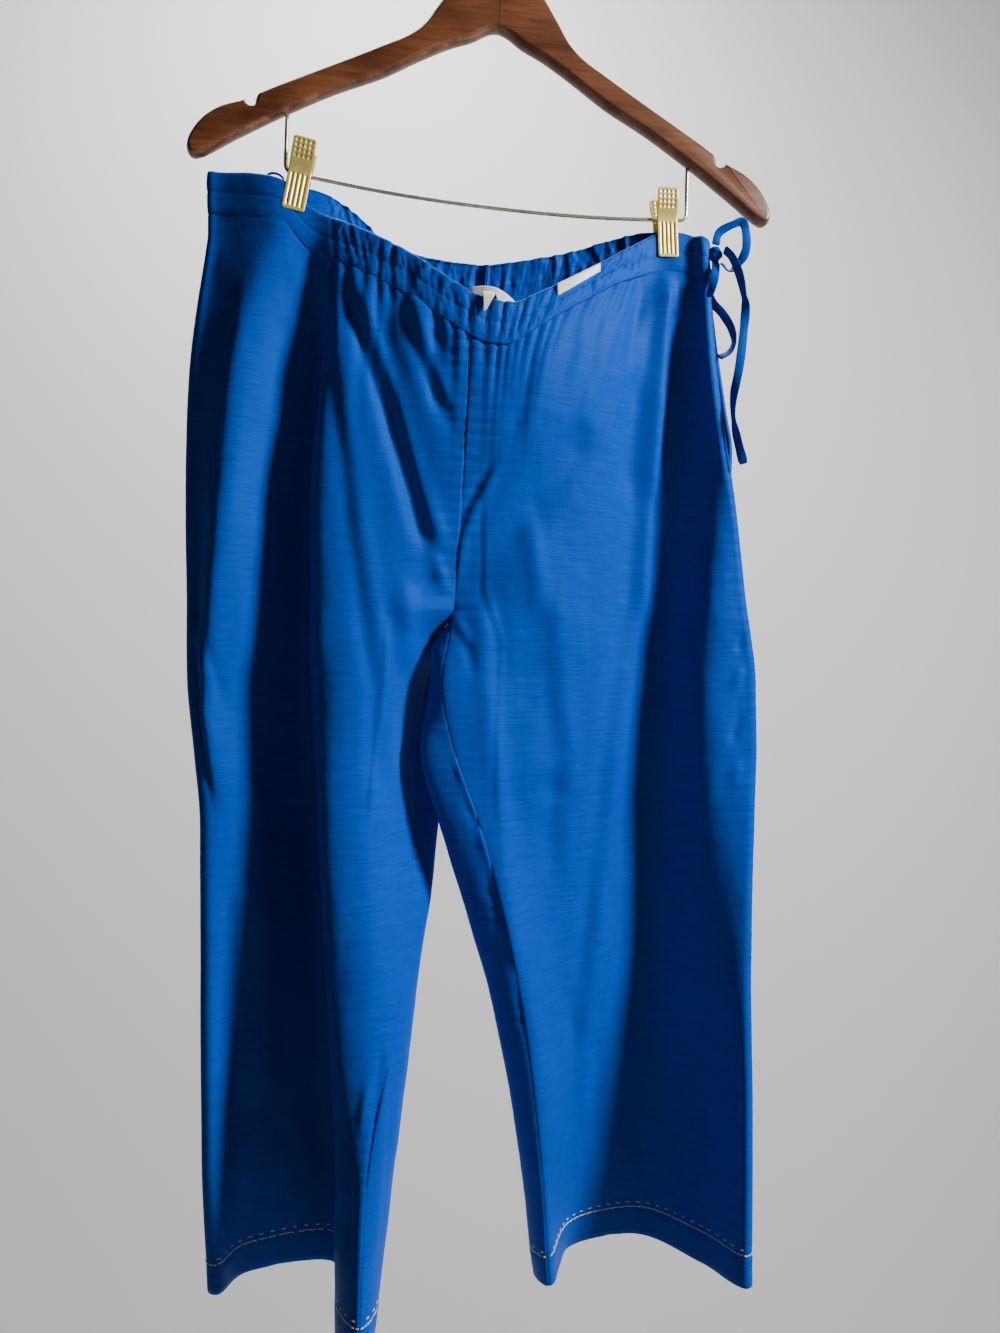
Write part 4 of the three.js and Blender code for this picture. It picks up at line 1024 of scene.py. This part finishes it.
# ------------------------------------------------------------------ hanger
ARM_HALF = 6.5
ARM_ROUND = 6.0
ARM_INSET = 3.6  # of the rounded edges, seen from the front
ARM_OUTLINE = [  # from the neck outwards and back along the underside; True marks a sharp corner
    (0.2, -86, True), (9, -87, False), (17, -91, False), (26, -99.5, False), (34, -108, False),
    (41, -118, False), (48, -129, False), (57, -143, False), (68, -153, False), (86, -163.5, False),
    (112, -178, False), (147, -197, False), (172, -211, False), (177, -214.5, False), (179, -222.5, True),
    (182, -223, False), (186, -219.5, True), (202, -226, False), (214, -235, False), (222, -246, False),
    (225.5, -256, False), (224, -263, False), (219, -265, False), (190, -246.5, False),
    (160, -227, False), (121, -204, False), (86, -186.5, False), (58, -169, False),
    (35, -156, False), (19, -149, False), (8, -142, False), (0.2, -139, True),
]
WIRE_DIAMETER = 3.0
BAR_HALF_SPAN = 155.5
BAR_Z = -268.0
BAR_SAG = 8.0
BAR_TOP = -225.7  # where its ends enter the wood
HOOK_DIAMETER = 4.0
HOOK_RADIUS = 26.0


def tilted(points, angle=HANGER_TILT, about=(0, 0, 0)):
    """Turns points about the Y axis through a place."""
    p = np.asarray(points, float) - about
    c, s = math.cos(angle), math.sin(angle)
    x, z = p[..., 0] * c + p[..., 2] * s, p[..., 2] * c - p[..., 0] * s
    return np.stack([x, p[..., 1], z], -1) + about


def arm_loop():
    """The outline with its round stretches drawn finer."""
    points = np.array([(x, z) for x, z, _ in ARM_OUTLINE])
    sharp = [corner for _, _, corner in ARM_OUTLINE]
    out = []
    for k in range(len(points) - 1):
        b, c = points[k], points[k + 1]
        a = 2 * b - c if sharp[k] else points[k - 1]
        d = 2 * c - b if sharp[k + 1] else points[k + 2]
        t = np.arange(4) / 4
        out.append(between(*(np.broadcast_to(p, (4, 2)) for p in (a, b, c, d)), t))
    return np.concatenate(out + [points[-1:]])


def arm(name, mirror, material):
    loop = arm_loop()
    lead, trail = np.roll(loop, 1, 0), np.roll(loop, -1, 0)
    ahead, behind = trail - loop, loop - lead
    ahead /= np.linalg.norm(ahead, axis=1, keepdims=True)
    behind /= np.linalg.norm(behind, axis=1, keepdims=True)
    bisector = np.stack([-(ahead + behind)[:, 1], (ahead + behind)[:, 0]], -1)
    inward = -bisector / np.maximum(np.linalg.norm(bisector, axis=1, keepdims=True), 1e-6)
    inward[[0, -1], 0] = 0
    levels = []
    for turn in np.linspace(0, math.pi / 2, 8):
        depth = -(ARM_HALF - ARM_ROUND) - ARM_ROUND * math.cos(turn)
        levels.append((ARM_INSET * (1 - math.sin(turn)), depth))
    levels += [(inset, -y) for inset, y in reversed(levels)]
    rings = []
    for inset, y in levels:
        flat = loop + inward * inset
        flat[:, 0] = np.maximum(flat[:, 0], ARM_OUTLINE[0][0])
        rings.append(np.stack([mirror * flat[:, 0], np.full(len(flat), y), flat[:, 1]], -1))
    points = tilted(np.concatenate(rings))
    count = len(loop)
    quads = grid_quads(len(levels), count, wrap=True).tolist()
    ends = [list(range(count))[::-1], [(len(levels) - 1) * count + k for k in range(count)]]
    faces = quads + ends
    if mirror > 0:
        faces = [face[::-1] for face in faces]
    mesh = mesh_from(f"{name}_wood", points, faces)
    # Lighter bare wood in a band along the rounded edges: edge wear, and a painted highlight on the edges
    edge_wear_and_highlight = np.array([math.exp(-abs(inset - 0.9) / 0.7) for inset, _ in levels for _ in range(count)])
    layer = mesh.attributes.new("edge_wear_and_highlight", "FLOAT", "POINT")
    layer.data.foreach_set("value", edge_wear_and_highlight.astype(np.float32))
    piece = link(f"{name}_wood", mesh, material, [name], "wood")
    mesh.set_sharp_from_angle(angle=math.radians(40))
    return piece


def hook(material):
    centre = HOOK_DIAMETER / 2 - HOOK_RADIUS
    turns = np.radians(np.linspace(200, -50, 13))
    points = [(HOOK_RADIUS * math.cos(t), 0, centre + HOOK_RADIUS * math.sin(t)) for t in turns]
    foot = centre - HOOK_RADIUS
    points += [(4, 0, foot - 3), (0, 0, foot - 12), (0, 0, ARM_OUTLINE[0][1] + 0.3)]
    mesh = round_tube("hook_wire", tilted(points), HOOK_DIAMETER, steps=5, sides=24)
    return link("hook_wire", mesh, material, ["hanger_hook"], "steel")


def trouser_bar(material):
    corner, half, top = 6.0, BAR_HALF_SPAN, BAR_TOP
    bends = np.radians([0, 22, 45, 68, 90])
    left = [(-half, 0, top), (-half, 0, (top + BAR_Z) / 2)]
    left += [(-half + corner * (1 - math.cos(t)), 0, BAR_Z + corner * (1 - math.sin(t))) for t in bends]
    left.append((-half / 2, 0, BAR_Z - BAR_SAG * 0.75))
    points = left + [(0, 0, BAR_Z - BAR_SAG)] + [(-x, y, z) for x, y, z in reversed(left)]
    mesh = round_tube("trouser_bar_wire", tilted(points), WIRE_DIAMETER, steps=6, sides=16)
    return link("trouser_bar_wire", mesh, material, ["trouser_bar"], "steel")


# ------------------------------------------------------------------ clips
CLIP_WIDTH = 17.0
JAW_SHEET = 1.2
JAW_ROWS, JAW_COLUMNS = 131, 45
JAW_BLUR = 9  # rows over which its bends are eased
JAW_PROFILE = [(3.5, -25.5), (3.4, -22), (3.4, -13), (3.9, -4), (3.9, 5), (8.6, 18), (9.6, 26.5)]
CLIPS = [
    {"name": "clip_right", "along": -145, "drop": 0.52, "slope": 6.3, "tilt": 11, "lift": -3.2},
    {"name": "clip_left", "along": 138, "drop": 1.23, "slope": -5.4, "tilt": -2, "lift": -5.5},
]
DIMPLES = {"rows": 4, "columns": 4, "pitch": 3.4, "top": 23.5, "radius": 1.15, "depth": 0.55}
GROOVES = {"count": 4, "pitch": 3.4, "top": 1.0, "foot": -22.5, "radius": 0.8, "depth": 0.6}


def clip_place(clip):
    return np.array([clip["along"], 0, BAR_Z - clip["drop"]])


def jaw(clip, name, sign, material):
    profile = np.array(JAW_PROFILE)
    run = np.linspace(0, len(profile) - 1, JAW_ROWS)
    y = np.interp(run, np.arange(len(profile)), profile[:, 0])
    z = np.interp(run, np.arange(len(profile)), profile[:, 1])
    kernel = np.ones(JAW_BLUR) / JAW_BLUR
    y = np.convolve(np.pad(y, JAW_BLUR // 2, mode="edge"), kernel, "valid")
    x = np.linspace(-1, 1, JAW_COLUMNS) * CLIP_WIDTH / 2
    grid_x, grid_z = np.meshgrid(x, z)
    grid_y = np.broadcast_to(y[:, None], grid_x.shape) + JAW_SHEET
    corner = 2.0
    reach = np.minimum(grid_z - z.min(), z.max() - grid_z)
    inset = corner - np.sqrt(np.maximum(corner**2 - np.maximum(corner - reach, 0) ** 2, 0))
    grid_x = grid_x * (1 - inset / (CLIP_WIDTH / 2))
    press = np.zeros(grid_x.shape)
    first = -(DIMPLES["columns"] - 1) / 2 * DIMPLES["pitch"]
    for row in range(DIMPLES["rows"]):
        for column in range(DIMPLES["columns"]):
            off = np.hypot(grid_x - first - column * DIMPLES["pitch"],
                           grid_z - DIMPLES["top"] + row * DIMPLES["pitch"])
            press += DIMPLES["depth"] * np.exp(-((off / DIMPLES["radius"]) ** 4))
    for groove in range(GROOVES["count"]):
        beyond = np.maximum(np.maximum(grid_z - GROOVES["top"], GROOVES["foot"] - grid_z), 0)
        off = np.hypot(grid_x - first - groove * GROOVES["pitch"], beyond)
        press += GROOVES["depth"] * np.exp(-((off / GROOVES["radius"]) ** 4))
    edge = np.minimum(CLIP_WIDTH / 2 - np.abs(np.linspace(-1, 1, JAW_COLUMNS))[None] * CLIP_WIDTH / 2, reach)
    fall = 0.35 * np.exp(-np.maximum(edge, 0) / 0.35)
    points = np.stack([grid_x, sign * (grid_y - press - fall), grid_z + clip["lift"]], -1)
    angle = math.radians(clip["tilt"]) - HANGER_TILT
    points = tilted(tilted(points, angle) + clip_place(clip))
    mesh = shell(name + "_plate", points, JAW_SHEET - 0.1, sign > 0)
    return link(name + "_plate", mesh, material, [name], "brass")


def spring(clip, material):
    turns, wire = 6, 0.9
    radius = 3.5 - wire / 2
    t = np.linspace(0, 1, turns * 14 + 1)
    angle = 2 * math.pi * turns * t
    line = np.stack([(t - 0.5) * 6.1, radius * np.cos(angle), radius * np.sin(angle)], -1)
    run = np.gradient(line, axis=0)
    run /= np.linalg.norm(run, axis=1, keepdims=True)
    out = line * [0, 1, 1] / radius
    place = clip_place(clip)
    across = np.cross(run, out)
    slope = math.radians(clip["slope"])
    line, out, across = tilted(line, slope) + place, tilted(out, slope), tilted(across, slope)
    line, out, across = tilted(line), tilted(out), tilted(across)
    mesh = swept(clip["name"] + "_coil", line, across, out, ring(8, wire / 2, wire / 2))
    return link(clip["name"] + "_coil", mesh, material, [clip["name"] + "_spring"], "steel")


# ------------------------------------------------------------------ stitches
def stitch_mesh(name, centre, along_, out, length, width, lift):
    """One low bead of thread at each place, merged in one mesh."""
    rings, sides = (-0.5, -0.3, 0.3, 0.5), 6
    scale = (0.15, 1.0, 1.0, 0.15)
    turn = 2 * math.pi * np.arange(sides) / sides
    side = np.cross(along_, out)
    shape = []
    for place, size in zip(rings, scale):
        radius = size * width / 2
        for angle in turn:
            shape.append((place * length, radius * math.cos(angle), radius * math.sin(angle)))
    shape = np.array(shape)
    middle = centre + out * lift
    points = (middle[:, None] + shape[None, :, :1] * along_[:, None] + shape[None, :, 1:2] * side[:, None]
              + shape[None, :, 2:] * out[:, None])
    quads = grid_quads(len(rings), sides, wrap=True)
    every = (quads[None] + (np.arange(len(centre)) * len(shape))[:, None, None]).reshape(-1, 4)
    return mesh_from(name, points.reshape(-1, 3), every)


def by_length(line, normal, pitch, start=0.5):
    """Places each pitch along a line, with their direction and outward side."""
    run = np.concatenate([[0], np.cumsum(np.linalg.norm(np.diff(line, axis=0), axis=1))])
    at = np.arange(start * pitch, run[-1] - 0.3 * pitch, pitch)
    centre = np.stack([np.interp(at, run, line[:, k]) for k in range(3)], -1)
    out = np.stack([np.interp(at, run, normal[:, k]) for k in range(3)], -1)
    direction = np.gradient(centre, axis=0)
    direction /= np.linalg.norm(direction, axis=1, keepdims=True)
    out -= direction * (out * direction).sum(1, keepdims=True)
    return centre, direction, out / np.linalg.norm(out, axis=1, keepdims=True)


def casing_stitches(face, side, material):
    place = places_across(face, side, CASING_STEPS[face, side], np.full((1, 1), WAIST_Z))[0]
    parts = []
    for row in STITCH_ROWS:
        z = top_of(face, side, place) - row
        point, normal = plain_point(face, side, place, z), plain_normal(face, side, place, z)
        point = point + normal * casing_height(face, side, place, np.full_like(place, row))[:, None]
        parts.append(by_length(point, normal, 3.1))
    joined = [np.concatenate(group) for group in zip(*parts)]
    name = f"casing_stitches_{face}_{side}"
    return link(name, stitch_mesh(name, *joined, 2.4, 0.6, 0.3), material, slot="cloth")


def hem_line(face, side, up):
    steps = [4 * n for n in PANEL_STEPS[face]]
    place = places_across(face, side, steps, np.full((1, 1), HEM_Z[side] + up))[0]
    z = np.full_like(place, HEM_Z[side] + up)
    point, normal = plain_point(face, side, place, z), plain_normal(face, side, place, z)
    return point + normal * relief(face, side, place, point)[:, None], normal


def hem_stitches(face, side, thread):
    line, normal = hem_line(face, side, HEM_HEIGHT)
    chain = by_length(line, normal, 2.9)
    name = f"hem_chain_{face}_{side}"
    link(name, stitch_mesh(name, *chain, 3.0, 1.25, 0.75), thread, slot="cloth")
    line, normal = hem_line(face, side, HEM_HEIGHT + 3.8)
    dashes = by_length(line, normal, 8.5)
    name = f"hem_dashes_{face}_{side}"
    link(name, stitch_mesh(name, *dashes, 3.8, 1.1, 0.55), thread, slot="cloth")


# ------------------------------------------------------------------ materials
def new_material(name):
    material = bpy.data.materials.new(name)
    material.use_nodes = True
    nodes = material.node_tree.nodes
    return material, nodes, material.node_tree.links, nodes["Principled BSDF"]


def finish(shader, values):
    for name, value in values.items():
        shader.inputs[name].default_value = value


def texture(nodes, links, scale, detail, roughness=0.6, seed=0.0):
    """Noise in the row frame's own metres, stretched by scale along each axis."""
    place = nodes.new("ShaderNodeTexCoord")
    mapping = nodes.new("ShaderNodeMapping")
    mapping.inputs["Scale"].default_value = scale
    mapping.inputs["Location"].default_value = (seed, seed, seed)
    links.new(place.outputs["Object"], mapping.inputs["Vector"])
    pattern = nodes.new("ShaderNodeTexNoise")
    pattern.inputs["Scale"].default_value = 1.0
    pattern.inputs["Detail"].default_value = detail
    pattern.inputs["Roughness"].default_value = roughness
    links.new(mapping.outputs["Vector"], pattern.inputs["Vector"])
    return pattern.outputs["Fac"]


def ramp(nodes, links, source, stops):
    node = nodes.new("ShaderNodeValToRGB")
    elements = node.color_ramp.elements
    while len(elements) < len(stops):
        elements.new(0.5)
    for element, (position, colour) in zip(elements, stops):
        element.position = position
        element.color = (*colour, 1)
    links.new(source, node.inputs["Fac"])
    return node.outputs["Color"]


def mixed(nodes, links, kind, factor, a, b):
    node = nodes.new("ShaderNodeMix")
    node.data_type = "RGBA"
    node.blend_type = kind
    for socket, value in ((node.inputs["Factor"], factor), (node.inputs[6], a), (node.inputs[7], b)):
        if isinstance(value, bpy.types.NodeSocket):
            links.new(value, socket)
        else:
            socket.default_value = value if np.ndim(value) == 0 else (*value, 1)
    return node.outputs[2]


def bumped(nodes, links, shader, height, strength, distance, under=None):
    node = nodes.new("ShaderNodeBump")
    node.inputs["Strength"].default_value = strength
    node.inputs["Distance"].default_value = distance
    links.new(height, node.inputs["Height"])
    if under:
        links.new(under, node.inputs["Normal"])
    links.new(node.outputs["Normal"], shader.inputs["Normal"])
    return node.outputs["Normal"]


def cloth_material(name, base, deep, pale):
    material, nodes, links, shader = new_material(name)
    slub = texture(nodes, links, (45, 45, 1150), 5, 0.65)
    warp = texture(nodes, links, (900, 900, 30), 3, 0.5, 3.0)
    patches = texture(nodes, links, (14, 14, 9), 3, 0.5, 7.0)
    colour = ramp(nodes, links, slub, [(0.30, deep), (0.5, base), (0.72, pale)])
    shade = ramp(nodes, links, patches, [(0.3, (0.9, 0.9, 0.9)), (0.7, (1, 1, 1))])
    links.new(mixed(nodes, links, "MULTIPLY", 1.0, colour, shade), shader.inputs["Base Color"])
    finish(shader, {
        "Roughness": 0.5, "Specular IOR Level": 0.12, "Specular Tint": (0.1, 0.4, 1, 1),
        "Sheen Weight": 0.12, "Sheen Roughness": 0.4, "Sheen Tint": (0.05, 0.3, 1, 1),
    })
    first = bumped(nodes, links, shader, slub, 0.5, 0.0004)
    bumped(nodes, links, shader, warp, 0.25, 0.0002, first)
    return material


def thread_material(name, colour, pale):
    material, nodes, links, shader = new_material(name)
    twist = texture(nodes, links, (700, 700, 900), 2)
    links.new(ramp(nodes, links, twist, [(0.35, colour), (0.65, pale)]), shader.inputs["Base Color"])
    shader.inputs["Roughness"].default_value = 0.5
    bumped(nodes, links, shader, twist, 0.6, 0.0002)
    return material


def label_material():
    material, nodes, links, shader = new_material("satin_label")
    weave = texture(nodes, links, (60, 60, 1600), 3)
    colour = ramp(nodes, links, weave, [(0.3, (0.66, 0.64, 0.58)), (0.7, (0.82, 0.81, 0.76))])
    links.new(colour, shader.inputs["Base Color"])
    finish(shader, {"Roughness": 0.38, "Sheen Weight": 0.3})
    bumped(nodes, links, shader, weave, 0.4, 0.0002)
    return material


def wood_material():
    material, nodes, links, shader = new_material("varnished_wood")
    grain = texture(nodes, links, (16, 380, 380), 6, 0.55)
    pores = texture(nodes, links, (60, 1100, 1100), 3, 0.5, 5.0)
    # Broad patches where the wood is darker, at random over the arms
    broad_dark_patches = texture(nodes, links, (13, 13, 24), 3, 0.5, 4.0)
    colour = ramp(nodes, links, grain, [
        (0.25, (0.115, 0.036, 0.013)), (0.5, (0.17, 0.057, 0.020)), (0.75, (0.235, 0.085, 0.031)),
    ])
    dark = ramp(nodes, links, pores, [(0.36, (0.45, 0.4, 0.4)), (0.46, (1, 1, 1))])
    shade = ramp(nodes, links, broad_dark_patches, [(0.32, (0.42, 0.34, 0.3)), (0.62, (1, 1, 1))])
    pored = mixed(nodes, links, "MULTIPLY", 0.4, colour, dark)
    varnished = mixed(nodes, links, "MULTIPLY", 1.0, pored, shade)
    # Lighter bare wood on the rounded edges, made patchy by noise: edge wear and a painted highlight
    edge = nodes.new("ShaderNodeAttribute")
    edge.attribute_name = "edge_wear_and_highlight"
    rub_and_highlight_noise = texture(nodes, links, (60, 60, 60), 5, 0.7, 2.0)
    wear_and_highlight_mask = nodes.new("ShaderNodeMath")
    wear_and_highlight_mask.operation = "MULTIPLY"
    links.new(edge.outputs["Fac"], wear_and_highlight_mask.inputs[0])
    links.new(ramp(nodes, links, rub_and_highlight_noise, [(0.45, (0, 0, 0)), (0.62, (0.75, 0.75, 0.75))]), wear_and_highlight_mask.inputs[1])
    bare = mixed(nodes, links, "MIX", wear_and_highlight_mask.outputs[0], varnished, (0.42, 0.2, 0.09))
    links.new(bare, shader.inputs["Base Color"])
    finish(shader, {
        "Roughness": 0.4, "Specular IOR Level": 0.35, "Coat Weight": 0.35, "Coat Roughness": 0.2,
    })
    bumped(nodes, links, shader, grain, 0.12, 0.0005)
    return material


def metal_material(name, dark, light, roughness, metallic):
    material, nodes, links, shader = new_material(name)
    tarnish = texture(nodes, links, (120, 120, 120), 5)
    links.new(ramp(nodes, links, tarnish, [(0.35, dark), (0.6, light)]), shader.inputs["Base Color"])
    shader.inputs["Metallic"].default_value = metallic
    rough = ramp(nodes, links, tarnish, [(0.3, (roughness + 0.12,) * 3), (0.7, (roughness,) * 3)])
    links.new(rough, shader.inputs["Roughness"])
    bumped(nodes, links, shader, tarnish, 0.1, 0.0002)
    return material


CLOTH = cloth_material("cobalt_cloth", (0.0, 0.06, 0.40), (0.0, 0.045, 0.33), (0.0, 0.074, 0.47))
CLOTH_THREAD = thread_material("blue_thread", (0.001, 0.10, 0.42), (0.002, 0.15, 0.55))
GOLD_THREAD = thread_material("gold_thread", (0.62, 0.5, 0.26), (0.85, 0.74, 0.46))
LABEL = label_material()
WOOD = wood_material()
STEEL = metal_material("pale_wire", (0.5, 0.45, 0.36), (0.8, 0.74, 0.6), 0.24, 0.85)
BRASS = metal_material("brass_plate", (0.72, 0.52, 0.12), (0.92, 0.72, 0.24), 0.34, 0.55)

# ------------------------------------------------------------------ the part
drawstring(CLOTH)
for leg in ("right", "left"):
    for side_of_leg in ("front", "back"):
        panel(side_of_leg, leg, CLOTH)
        casing(side_of_leg, leg, CLOTH)
        casing_stitches(side_of_leg, leg, CLOTH_THREAD)
        hem_stitches(side_of_leg, leg, GOLD_THREAD)
brand_label(LABEL)
size_tab(LABEL)
care_label(LABEL)
hanging_loop(CLOTH)
arm("hanger_arm_right", -1, WOOD)
arm("hanger_arm_left", 1, WOOD)
hook(STEEL)
trouser_bar(STEEL)
for clip_at in CLIPS:
    jaw(clip_at, clip_at["name"] + "_front_jaw", -1, BRASS)
    jaw(clip_at, clip_at["name"] + "_back_jaw", 1, BRASS)
    spring(clip_at, STEEL)


# ------------------------------------------------------------------ the cut
# What shows of each panel, in metres: the greatest breadth round its plain sections and the longest run
# from casing to hem, to the next 5 mm, then the area of those sections. Seam and hem allowances are hidden.
PANEL_CUT = {
    ("front", "right"): ((0.255, 0.795), 0.181),
    ("front", "left"): ((0.280, 0.775), 0.182),
    ("back", "right"): ((0.310, 0.795), 0.201),
    ("back", "left"): ((0.375, 0.795), 0.236),
}
CASING_FULLNESS = 1.12  # of the strip over the length that the drawstring draws it to
DRAWN_LENGTH = {
    ("front", "right"): 0.199, ("front", "left"): 0.206, ("back", "right"): 0.220, ("back", "left"): 0.180,
}


def named(*names):
    return [bpy.data.objects[name] for name in names]


def declare_sheets():
    for (face, side), (flat, area) in PANEL_CUT.items():
        seam_stitches = named(f"hem_chain_{face}_{side}", f"hem_dashes_{face}_{side}")
        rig.sheet(*named(f"{face}_{side}_cloth"), flat=flat, held="hung", area=area,
                 rests_on=[f"casing_{face}_{side}"], with_pieces=seam_stitches)
    for (face, side), drawn in DRAWN_LENGTH.items():
        flat = (round(drawn * CASING_FULLNESS, 3), CASING_HEIGHT * MM)
        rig.sheet(*named(f"casing_{face}_{side}_cloth"), flat=flat, held="gathered",
                 rests_on=[f"clip_{side}_front_jaw", f"clip_{side}_back_jaw"],
                 with_pieces=named(f"casing_stitches_{face}_{side}"))
    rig.sheet(*named("brand_label_satin"), flat=(0.052, 0.028), held="laid", rests_on=["casing_back_right"])
    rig.sheet(*named("care_label_satin"), flat=(0.037, 0.026), held="folded", rests_on=["casing_front_left"])
    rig.sheet(*named("size_tab_satin"), flat=(0.011, 0.078), held="hung", area=0.00068,
             rests_on=["brand_label"])


declare_sheets()


# ------------------------------------------------------------------ surroundings
def stage_plane(name, corners, colour):
    mesh = bpy.data.meshes.new(name)
    mesh.from_pydata(corners, [], [(0, 1, 2, 3)])
    piece = bpy.data.objects.new(name, mesh)
    bpy.context.scene.collection.objects.link(piece)
    material, _, _, shader = new_material(name)
    finish(shader, {"Base Color": (*colour, 1), "Roughness": 0.9})
    mesh.materials.append(material)
    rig.stage(piece)


def area_light(name, at, towards, size, watts, colour=(1, 1, 1)):
    data = bpy.data.lights.new(name, "AREA")
    data.shape = "DISK"
    data.size = size
    data.energy = watts
    data.color = colour
    lamp = bpy.data.objects.new(name, data)
    aim = np.array(towards) - np.array(at)
    direction = aim / np.linalg.norm(aim)
    side = np.cross(direction, [0.0, 0.0, 1.0])
    side /= np.linalg.norm(side)
    up = np.cross(side, direction)
    axes = np.stack([side, up, -direction], 1)
    lamp.matrix_world = Matrix.Translation(at) @ Matrix(axes.tolist()).to_4x4()
    bpy.context.scene.collection.objects.link(lamp)


WALL_Y, FLOOR_Z = 1.9, -2.7
LEFT_END, RIGHT_END, NEAR_END, WALL_TOP = -6, 6, -6, 3
FOOT = [(LEFT_END, WALL_Y, FLOOR_Z), (RIGHT_END, WALL_Y, FLOOR_Z)]
stage_plane("floor", [(RIGHT_END, NEAR_END, FLOOR_Z), (LEFT_END, NEAR_END, FLOOR_Z), *FOOT], (0.8, 0.8, 0.79))
stage_plane("wall", [*FOOT, (RIGHT_END, WALL_Y, WALL_TOP), (LEFT_END, WALL_Y, WALL_TOP)], (0.86, 0.86, 0.86))


def studio_world(fill, backdrop):
    """A dim fill for the part, and a pale backdrop where a view looks past the wall."""
    world = bpy.data.worlds.new("studio")
    world.use_nodes = True
    nodes, links = world.node_tree.nodes, world.node_tree.links
    dim = nodes["Background"]
    dim.inputs["Color"].default_value = (0.93, 0.96, 1, 1)
    dim.inputs["Strength"].default_value = fill
    pale = nodes.new("ShaderNodeBackground")
    pale.inputs["Color"].default_value = (0.86, 0.86, 0.86, 1)
    pale.inputs["Strength"].default_value = backdrop
    ray, mix = nodes.new("ShaderNodeLightPath"), nodes.new("ShaderNodeMixShader")
    links.new(ray.outputs["Is Camera Ray"], mix.inputs[0])
    links.new(dim.outputs[0], mix.inputs[1])
    links.new(pale.outputs[0], mix.inputs[2])
    links.new(mix.outputs[0], nodes["World Output"].inputs["Surface"])
    bpy.context.scene.world = world


studio_world(0.03, 0.9)
area_light("key", (1.9, -1.22, 0.5), (0, 0, -0.65), 0.5, 126)
area_light("wall_light", (0, 0.8, 1.4), (0.2, WALL_Y, -0.7), 1.2, 46)

with open("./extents.json", "w") as report:
    json.dump({"cad": np.array(cad_bounds).tolist(), "visual": np.array(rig.bounds()).tolist()}, report)
